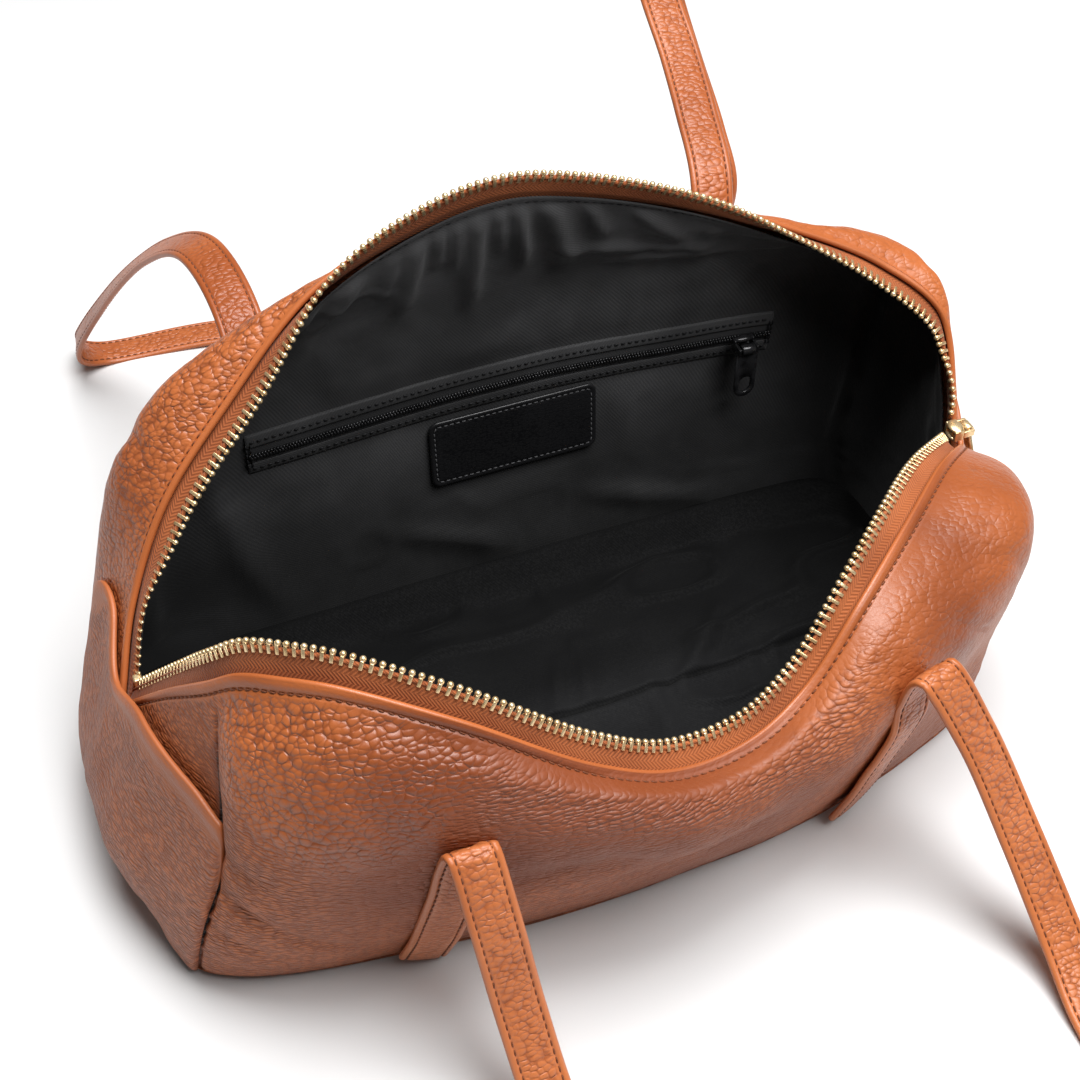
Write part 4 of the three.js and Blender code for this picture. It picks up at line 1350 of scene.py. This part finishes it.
# Sections over which the shade at both ends fades, heights over which the shade at the foot does
DARK_START = (0.6, 2.6)
DARK_END = (7.8, 10.2)
DARK_FOOT = (35.0, 100.0)
END_SHADE = 0.85
FOOT_SHADE = 0.75
LINING_FOLDS = {
    "front": [
        # fromSection, fromUp, toSection, toUp, width, depth
        [4.4, 0.9, 4.9, 0.3, 7.0, 2.4],
        [7.0, 0.9, 7.4, 0.3, 6.0, 1.8],
        [9.6, 0.9, 9.3, 0.3, 6.0, 1.8],
        [12.0, 0.9, 12.3, 0.3, 7.0, 2.4],
    ],
    "back": [
        # fromSection, fromUp, toSection, toUp, width, depth
        [3.9, 0.97, 3.75, 0.66, 5.0, 2.4],
        [4.35, 0.98, 4.0, 0.62, 6.5, 3.4],
        [4.72, 0.98, 4.66, 0.78, 3.0, 1.8],
        [4.95, 0.98, 4.82, 0.7, 4.5, 2.8],
        [5.2, 0.98, 5.2, 0.84, 2.4, 1.6],
        [5.42, 0.98, 5.4, 0.8, 2.8, 2.0],
        [5.68, 0.98, 5.6, 0.68, 4.6, 3.0],
        [5.95, 0.98, 6.0, 0.82, 2.6, 1.8],
        [6.2, 0.98, 6.3, 0.76, 3.4, 2.4],
        [6.6, 0.98, 6.95, 0.72, 5.0, 2.6],
        [7.1, 0.98, 7.3, 0.84, 3.0, 1.6],
        [7.6, 0.97, 8.1, 0.8, 4.0, 2.0],
        [6.7, 0.8, 8.5, 0.75, 3.2, 1.8],
        [7.1, 0.72, 8.9, 0.7, 2.6, 1.4],
        [3.2, 0.55, 3.6, 0.15, 8.0, 3.2],
        [2.3, 0.7, 2.6, 0.2, 8.0, 3.0],
        [9.6, 0.85, 9.9, 0.25, 8.0, 3.6],
        [10.5, 0.75, 10.8, 0.2, 7.0, 3.6],
        [4.6, 0.26, 6.0, 0.12, 5.0, 2.2],
        [7.0, 0.22, 8.6, 0.1, 5.0, 2.4],
    ],
}


def calm_cloth(name, skin, sections):
    """0 on the cloth that is sewn flat behind the pocket and the label, 1 away from them."""
    if name == "front":
        return np.ones(len(skin))
    off_pocket = np.abs(skin[:, 2] - pocket_height(np.clip(sections, POCKET["from"], POCKET["to"])))
    past_pocket = np.maximum(POCKET["from"] - sections, sections - POCKET["to"]) * 40
    label_x = WALLS["back"].skin(np.array([LABEL["section"]]), np.array([0.4]))[0, 0]
    beside_label = np.abs(skin[:, 0] - label_x) - LABEL["width"] / 2
    over_label = np.abs(skin[:, 2] - LABEL["height"]) - LABEL["tall"] / 2
    by_pocket = np.maximum(ease(off_pocket, 9.0, 22.0), ease(past_pocket, 4.0, 16.0))
    return by_pocket * ease(np.maximum(beside_label, over_label), 0.0, 12.0)


def lining_relief(name, skin, sections, below, height):
    """How far the cloth stands in from its wall."""
    slack = 0.8 + 1.7 * soft_noise(skin, 38.0, 31) + 0.8 * soft_noise(skin * (1.0, 1.0, 0.6), 15.0, 32)
    creases = np.clip(1.0 - np.abs(soft_noise(skin * (1.0, 1.0, 1.4), 26.0, 33)) - 0.74, 0, 1) / 0.26
    crumple = 0.3 * soft_noise(skin, 6.0, 34)
    folds = -press_folds(WALLS[name], LINING_FOLDS[name], skin)
    hang = ease(below, 6.0, 24.0) * ease(height, 6.0, 20.0)
    calm = calm_cloth(name, skin, sections)
    loose = (slack + 0.9 * creases + crumple) * hang + 1.7 * folds * ease(below, 3.0, 12.0)
    return np.clip(loose, -0.4, None) * calm


def make_lining(name):
    """Lining of one wall. Gives back the piece and its stitches under the lip."""
    wall = WALLS[name]
    sections = np.linspace(0, wall.last, wall.last * LINING_COLUMNS_PER_SECTION + 1)
    low = wall.up_at(sections, LINING_FOOT)
    high = wall.up_below_lip(sections, LINING_BELOW_LIP)
    share = 1 - (1 - np.linspace(0, 1, LINING_ROWS)) ** 1.35
    ups = low[:, None] + (high - low)[:, None] * share[None]
    lengths = wall.length(sections)
    below = ((1 - ups) * lengths[:, None]).ravel()
    flat_sections = np.repeat(sections, LINING_ROWS)
    skin = wall.skin(flat_sections, ups.ravel())
    relief = lining_relief(name, skin, flat_sections, below, skin[:, 2])
    hem = 0.5 * hump(below, 3.0, 1.3) - 0.35 * hump(below, LINING_STITCH_BELOW_LIP, 0.6)
    seam = ease(np.minimum(flat_sections, wall.last - flat_sections), 0.0, 0.5)
    points = wall.point(flat_sections, ups.ravel(), LINING_FACE + relief * seam + hem)
    along = arc_lengths(points.reshape(len(sections), LINING_ROWS, 3)[:, LINING_UV_ROW])
    uv = flat_pairs(along, ups * lengths[:, None])
    faces = grid_faces(len(sections), LINING_ROWS)
    # Painted shade on the lining: darker at both ends and at its foot
    left = END_SHADE * (1 - ease(flat_sections, *DARK_START))
    right = END_SHADE * ease(flat_sections, *DARK_END)
    foot = FOOT_SHADE * (1 - ease(skin[:, 2], *DARK_FOOT))
    made = piece(
        f"{name}_lining", points, faces, TWILL, "lining", [f"lining_{name}"],
        uv=uv.reshape(-1, 2), tone=np.maximum(np.maximum(left, right), foot), closed=False,
    )
    place, out, _ = wall.frame(sections, wall.up_below_lip(sections, LINING_STITCH_BELOW_LIP))
    return made, stitch_row(place - out * (LINING_FACE - 0.2), -out, "lining")


lining_front, front_row = make_lining("front")
lining_back, back_row = make_lining("back")
stitch_piece("lining_stitches", [front_row, back_row], "lining", BLACK_THREAD, "lining")

# Floor of the lining, with a seam along its middle

BASE_LINING_INSET = 4.8
BASE_SEAM_SHARE = 0.49
BASE_LINING_ROWS = 140
BASE_LINING_LIFT = 1.2
BEHIND_SHADE = 0.6
RIGHT_SHADE = 0.85
FLOOR_CREASES = [
    # fromX, fromY, toX, toY, width, depth
    [-2, -12, 10, 14, 3.0, 2.0],
    [14, -10, 20, 20, 3.5, 1.8],
    [40, -12, 36, -48, 4.0, 2.0],
    [62, -10, 84, 16, 3.0, 2.2],
    [84, -14, 74, -46, 4.0, 2.0],
    [-60, 8, -6, -34, 6.0, 2.4],
    [20, 36, 70, 48, 5.0, 2.0],
]


def make_lining_base():
    """Creased cloth on the base, curled up at its front and back edges."""
    grid = base_grid(BASE_LINING_INSET, BASE_LINING_ROWS)
    share = np.linspace(0, 1, BASE_LINING_ROWS)[None] * np.ones((BASE_COLUMNS, 1))
    front_edge, back_edge = base_outline(BASE_LINING_INSET)
    span = row_lengths(back_edge - front_edge)
    rim = np.minimum(share, 1 - share) * span
    curl = 9.0 * (1 - ease(rim, 0.0, 22.0)) ** 1.5
    flat = grid.reshape(-1, 3).copy()
    flat[:, 2] = 0
    waves = (1.5 * soft_noise(flat, 40.0, 41) + 0.9 * soft_noise(flat, 16.0, 42)).reshape(share.shape)
    ridges = 1.0 - np.abs(soft_noise(flat * (0.7, 1.3, 1.0), 26.0, 43)).reshape(share.shape)
    creases = 2.4 * np.clip(ridges - 0.75, 0, 1) / 0.25
    t = np.linspace(0, 1, 24)[:, None]
    for x0, y0, x1, y1, width, depth in FLOOR_CREASES:
        line = np.hstack([x0 + (x1 - x0) * t, y0 + (y1 - y0) * t, 0 * t])
        away = nearest_on(line, flat)[0]
        creases += depth * hump(away, 0, width).reshape(share.shape)
    off_seam = (share - BASE_SEAM_SHARE) * span
    seam = hump(off_seam, 0, 1.1)
    pucker = 0.8 * hump(off_seam, 0, 4.5)
    floor = BASE_THICKNESS + BASE_LINING_LIFT + LINING
    slack = waves * ease(rim, 2, 20) + creases * ease(rim, 4, 20)
    grid[..., 2] = np.maximum(floor + 1.6 + slack + curl - 3.0 * seam + 1.5 * pucker, floor - 0.8)
    points = grid.reshape(-1, 3)
    faces = grid_faces(BASE_COLUMNS, BASE_LINING_ROWS)
    # Painted shade on the floor cloth: near-black along the seam's groove, darker behind the seam and
    # towards the right end
    behind = BEHIND_SHADE * ease(share - BASE_SEAM_SHARE, 0.0, 0.12).ravel()
    right = RIGHT_SHADE * ease(points[:, 0], 60.0, 130.0)
    tone = np.maximum(seam.ravel(), np.maximum(behind, right))
    return piece(
        "base_lining", points, faces, FLOOR_TWILL_SHADED, "lining", ["lining_base"],
        uv=points[:, :2], tone=tone, closed=False,
    )


lining_base = make_lining_base()


# Pocket pieces over the back lining


def make_pocket():
    """Tape, two folded edges, stitches and the coil of the pocket's zip."""
    wall = WALLS["back"]
    sections = np.linspace(POCKET["from"], POCKET["to"], POCKET_COLUMNS)
    faces = [pocket_line(sections, k, POCKET_TAPE_FACE)[0] for k in POCKET_TAPE_ROWS]
    backs = [pocket_line(sections, k, POCKET_TAPE_FACE - POCKET_TAPE_THIN)[0] for k in POCKET_TAPE_ROWS]
    loops = np.concatenate([np.stack(faces, axis=1), np.stack(backs, axis=1)[:, ::-1]], axis=1)
    lengths = arc_lengths(faces[len(faces) // 2])
    uv = flat_pairs(lengths, np.concatenate([POCKET_TAPE_ROWS, POCKET_TAPE_ROWS[::-1]]))
    loop_piece("pocket_zip_tape", loops, POCKET_CLOTH, "lining", ["pocket_tape"], uv=uv)
    rows = []
    for side, name in ((-1, "lower"), (1, "upper")):
        ring = [
            pocket_line(sections, side * (POCKET_SLIT - k), LINING_FACE + rise)[0]
            for k, rise in FOLDED_EDGE
        ]
        edge_uv = flat_pairs(lengths, np.array(FOLDED_EDGE)[:, 0])
        loop_piece(f"pocket_edge_{name}", np.stack(ring, axis=1), TWILL, "lining", uv=edge_uv)
        line, out = pocket_line(sections, side * (POCKET_SLIT + POCKET_STITCH_OUT), LINING_FACE + 1.3)
        rows.append(stitch_row(line, out, "pocket"))
    end_reach = POCKET_SLIT + POCKET_STITCH_OUT
    heights = np.linspace(-end_reach, end_reach, POCKET_END_POINTS)
    for section, inward in ((POCKET["from"], 1), (POCKET["to"], -1)):
        for k in (0.0, 0.03):
            places = np.full(POCKET_END_POINTS, section + inward * k)
            skin, out, _ = wall.frame(places, wall.up_at(places, pocket_height(places) + heights))
            rows.append(stitch_row(skin - out * (LINING_FACE + 1.6), -out, "pocket_end"))
    stitch_piece("pocket_stitches", rows, "pocket", BLACK_THREAD, "lining")
    line, out = pocket_line(sections, 0.0, POCKET_TAPE_FACE + GAP + 0.7)
    wanted = np.arange(1.0, arc_lengths(line)[-1] - 1.0, COIL_PITCH)
    centre, out_at = along_line(line, wanted, out)
    along = unit(along_line(line, wanted + 0.3)[0] - centre)
    across = unit(np.cross(out_at, along))
    points = []
    coil_faces = []
    for offset in ((0, COIL_OFFSET, 0), (COIL_OFFSET, -COIL_OFFSET, 0)):
        bead = template(lambda work: ball(work, offset, COIL_BEAD, 8, 6))
        placed, bead_faces = repeated(bead, centre, along, across, unit(out_at))
        shift = sum(map(len, points))
        points.append(placed)
        coil_faces += [[v + shift for v in face] for face in bead_faces]
    points = np.concatenate(points)
    piece("pocket_zip_coil", points, coil_faces, BLACK_METAL, "pocket_zip", ["pocket_coil"], closed=False)


make_pocket()

# Bare label patch with a stitched border

LABEL_CORNER_STEPS = 7
LABEL_STITCH_IN = 2.2
LABEL_SMOOTH_TO = 2.4
LABEL_RINGS = [
    # inset, rise
    (0.3, 0.0),
    (0.0, 0.5),
    (0.0, 0.9),
    (0.25, 1.25),
    (0.8, 1.4),
    (1.8, 1.35),
    (2.2, 1.05),
    (2.6, 1.35),
    (3.4, 1.4),
    (6.0, 1.4),
    (10.0, 1.4),
    (15.9, 1.4),
]


def rounded_rectangle(inset, corner):
    """Outline of the label, moved inwards."""
    width = LABEL["width"] - 2 * inset
    tall = LABEL["tall"] - 2 * inset
    centres = [(1, 1, 0), (-1, 1, 90), (-1, -1, 180), (1, -1, 270)]
    outline = []
    for sx, sy, start in centres:
        for angle in np.radians(np.linspace(start, start + 90, LABEL_CORNER_STEPS)):
            outline.append((
                sx * (width / 2 - corner) + corner * math.cos(angle),
                sy * (tall / 2 - corner) + corner * math.sin(angle),
            ))
    return np.array(outline)


def make_label():
    """Leather patch with rounded edges and a stitched groove, flat on the lining."""
    wall = WALLS["back"]
    at = np.full(2, LABEL["section"])
    heights = LABEL["height"] + np.array([-0.5, 0.5]) * LABEL["tall"]
    low, high = wall.point(at, wall.up_at(at, heights), np.full(2, LINING_FACE + LABEL_GAP))
    right = np.array([1.0, 0.0, 0.0])
    up = unit(high - low)
    out = np.cross(right, up)
    centre = (low + high) / 2

    def place(flat, rise):
        return centre + flat[:, :1] * right + flat[:, 1:] * up + out * rise

    rings = []
    grain = []
    for inset, rise in LABEL_RINGS:
        outline = rounded_rectangle(inset, max(LABEL["corner"] - inset, 0.4))
        rings.append(place(outline, rise))
        grain.append(np.full(len(outline), 0.2 if inset < LABEL_SMOOTH_TO else 1.0))
    count = len(rings[0])
    faces = ring_faces(len(rings), count)
    faces.append(list(reversed(range(count))))
    faces.append([(len(rings) - 1) * count + k for k in range(count)])
    points = np.concatenate(rings)
    grain = np.concatenate(grain)
    piece("label_patch", points, faces, LABEL_BLACK, "label_leather", ["label"], grain=grain)
    border = rounded_rectangle(LABEL_STITCH_IN, 2.0)
    line = place(np.concatenate([border, border[:1]]), LABEL["thickness"] - 0.12)
    outward = np.repeat(out[None], len(line), axis=0)
    rows = [stitch_row(line, outward, "label")]
    stitch_piece("label_stitches", rows, "label", GREY_THREAD, "label_leather")


make_label()

# Sliders, pulls and the stop at the closed end of the zip

PIN_RADIUS = 0.9
EYE_HOLE = 1.3
EYE_RADIUS = 2.3
LUG_THICKNESS = 1.2
PIN_SIDE_GAP = 0.4
LUG_REACH = 0.6
LUG_SPARE = 1.4
# lean tips the pull out of the upright
ZIP_SLIDER = {
    "pin": (179.7, 0, 91.8), "turn": 0.0, "lean": -0.3,
    "length": 5.0, "width": 8.2, "height": 6.0,
}
POCKET_SLIDER = {
    "pin": (114.62, 67.27, 100.17), "turn": -math.pi / 2, "lean": 0.0,
    "length": 3.2, "width": 9.5, "height": 7.0,
}
# width is the eye's and tab the tab's; hole is its share of the tab's width and its straight length
ZIP_PULL = {"width": 5.0, "tab": 5.0, "hole": (0.46, 8.0), "length": 32.0, "thickness": 1.8}
POCKET_PULL = {"width": 6.0, "tab": 9.6, "hole": (0.58, 2.6), "length": 25.2, "thickness": 1.6}
EYE_SIDES = 28
HALF_LOOP = 18
EYE_PROFILE = [
    # radius, share of the half width
    (EYE_HOLE, -0.85),
    (EYE_HOLE + 0.12, -1),
    (EYE_RADIUS - 0.25, -1),
    (EYE_RADIUS, -0.85),
    (EYE_RADIUS, 0.85),
    (EYE_RADIUS - 0.25, 1),
    (EYE_HOLE + 0.12, 1),
    (EYE_HOLE, 0.85),
]


def turned(points, turn, pin):
    """Points turned about the upright axis and moved to a pin."""
    c, s = math.cos(turn), math.sin(turn)
    x = points[:, 0] * c - points[:, 1] * s
    y = points[:, 0] * s + points[:, 1] * c
    return np.stack([x, y, points[:, 2]], axis=1) + np.array(pin)


def slider_shape(size, pull):
    """Slider with the pin at its origin along Y and its nose towards +X."""
    length, width, height = size["length"], size["width"], size["height"]
    inner = pull["width"] / 2 + PIN_SIDE_GAP
    reach = EYE_RADIUS + LUG_REACH
    middle = -reach - length / 2
    wing = height * 0.3
    lug_length = reach + PIN_RADIUS + LUG_SPARE
    lug_middle = PIN_RADIUS + LUG_REACH - lug_length / 2
    pin_end = inner + LUG_THICKNESS * 0.8

    def build(work):
        for side in (-1, 1):
            ball(work, (middle, 0, side * (height - wing) / 2), (length * 1.2, width, wing * 1.3), 24, 14)
            block(work, (middle, side * (width / 2 - 0.7), 0), (length * 0.86, 1.2, height * 0.8), 0.4)
        block(work, (middle, 0, 0), (length * 0.7, width * 0.3, height * 0.9), 0.4)
        for side in (-1, 1):
            lug = (lug_middle, side * (inner + LUG_THICKNESS / 2), 0)
            block(work, lug, (lug_length, LUG_THICKNESS, 2 * PIN_RADIUS + LUG_SPARE), 0.45, 3)
        rod(work, (0, -pin_end, 0), (0, pin_end, 0), PIN_RADIUS)

    return template(build)


def half_circle(rise, width, low, tall=0.0, turn=0.0):
    """Half a circle of points below its middle, or above it with a turn of pi."""
    angles = np.linspace(turn, turn + np.pi, HALF_LOOP)
    return [(rise, width * math.cos(a), low + tall - width * math.sin(a)) for a in angles]


def pull_shape(pull, lean):
    """Eye round the pin and a flat round-ended tab with an oval hole below it."""
    eye_half = pull["width"] / 2
    half = pull["tab"] / 2
    low = half - pull["length"]
    thick = pull["thickness"] / 2
    top = -(EYE_RADIUS + EYE_HOLE) / 2
    share, tall = pull["hole"]

    def tab_loop(inset, rise):
        width = half - inset
        straight = [(rise, -width + 2 * width * k, top - inset) for k in np.linspace(0, 1, HALF_LOOP)]
        return half_circle(rise, width, low) + straight

    def hole_loop(grow, rise):
        width = half * share + grow
        foot = low + half * 0.1
        return half_circle(rise, width, foot) + half_circle(rise, width, foot, tall, np.pi)

    angles = np.linspace(0, 2 * np.pi, EYE_SIDES, endpoint=False)
    eye = [[(r * math.cos(a), y * eye_half, r * math.sin(a)) for a in angles] for r, y in EYE_PROFILE]
    tab = [
        hole_loop(0.3, -thick),
        hole_loop(0.0, -thick + 0.3),
        hole_loop(0.0, thick - 0.3),
        hole_loop(0.3, thick),
        tab_loop(0.45, thick),
        tab_loop(0.0, thick - 0.4),
        tab_loop(0.0, -thick + 0.4),
        tab_loop(0.45, -thick),
    ]
    points = []
    faces = []
    for loops in (eye, tab):
        faces += ring_faces(len(loops), len(loops[0]), len(points), wrap=True)
        points += [point for loop in loops for point in loop]
    flat = np.array(points)
    c, s = math.cos(lean), math.sin(lean)
    x = flat[:, 0] * c + flat[:, 2] * s
    z = -flat[:, 0] * s + flat[:, 2] * c
    return np.stack([x, flat[:, 1], z], axis=1), faces


def make_slider(name, size, pull, material, slot):
    """Slider on the bag, and its pull on a body of its own."""
    points, faces = slider_shape(size, pull)
    points = turned(points, size["turn"], size["pin"])
    piece(f"{name}_slider_body", points, faces, material, slot, [f"{name}_slider"])
    points, faces = pull_shape(pull, size["lean"])
    points = turned(points, size["turn"], size["pin"])
    piece(f"{name}_pull_tab", points, faces, material, slot, [f"{name}_pull"], f"{name}_pull")


make_slider("zip", ZIP_SLIDER, ZIP_PULL, BRASS, "brass")
make_slider("pocket", POCKET_SLIDER, POCKET_PULL, BLACK_METAL, "pocket_zip")


def make_stop():
    """Metal stop in the space of its solid."""
    low, high = (np.array(corner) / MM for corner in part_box("zip_stop"))
    centre = (low + high) / 2
    size = high - low

    def build(work):
        block(work, centre.tolist(), (size * (0.8, 1.0, 0.9)).tolist(), 0.6, 3)

    points, faces = template(build)
    piece("zip_end_stop", points, faces, BRASS, "brass", ["zip_stop"])


make_stop()

# Floor, light and camera

FLOOR_HALF = 4.0
WORLD_STRENGTH = 0.1


def make_floor():
    """Wide white floor."""
    shader = Shader("white_floor", Specular_IOR_Level=0.3)
    cloud = shader.noise(shader.object_place(), 6.0, 3.0)
    shader.set("Base Color", shader.blend(cloud, (0.70, 0.70, 0.70, 1), (0.73, 0.73, 0.73, 1)))
    shader.set("Roughness", shader.remap(cloud, 0.3, 0.7, 0.5, 0.6))
    mesh = bpy.data.meshes.new("floor")
    corners = [(x * FLOOR_HALF, y * FLOOR_HALF, 0) for x, y in ((-1, -1), (1, -1), (1, 1), (-1, 1))]
    mesh.from_pydata(corners, [], [[0, 1, 2, 3]])
    mesh.materials.append(shader.material)
    floor = bpy.data.objects.new("floor", mesh)
    bpy.context.scene.collection.objects.link(floor)


def area_light(name, place, aim, size, power):
    """Round white lamp at a place, turned to what it aims at."""
    light = bpy.data.lights.new(name, "AREA")
    light.shape = "DISK"
    light.size = size
    light.energy = power
    obj = bpy.data.objects.new(name, light)
    obj.location = place
    obj.rotation_euler = (Vector(aim) - Vector(place)).to_track_quat("-Z", "Y").to_euler()
    bpy.context.scene.collection.objects.link(obj)


make_floor()
area_light("key", (0.16, 0.22, 1.9), aim=(0.0, 0.0, 0.05), size=1.2, power=41)
area_light("fill", (0.55, -0.6, 1.8), aim=(0.0, 0.05, 0.05), size=1.2, power=31)

world = bpy.data.worlds.new("studio")
world.use_nodes = True
background = world.node_tree.nodes["Background"]
background.inputs["Color"].default_value = (1, 1, 1, 1)
background.inputs["Strength"].default_value = WORLD_STRENGTH
bpy.context.scene.world = world
bpy.context.scene.view_settings.view_transform = "Standard"

camera_data = bpy.data.cameras.new("camera")
camera_data.sensor_width = 36
camera_data.lens = 56.67
camera = bpy.data.objects.new("camera", camera_data)
camera.location = (-0.16556, -0.40913, 0.55179)
camera.rotation_euler = (math.radians(44), 0, math.radians(-21.5))
bpy.context.scene.collection.objects.link(camera)
bpy.context.scene.camera = camera
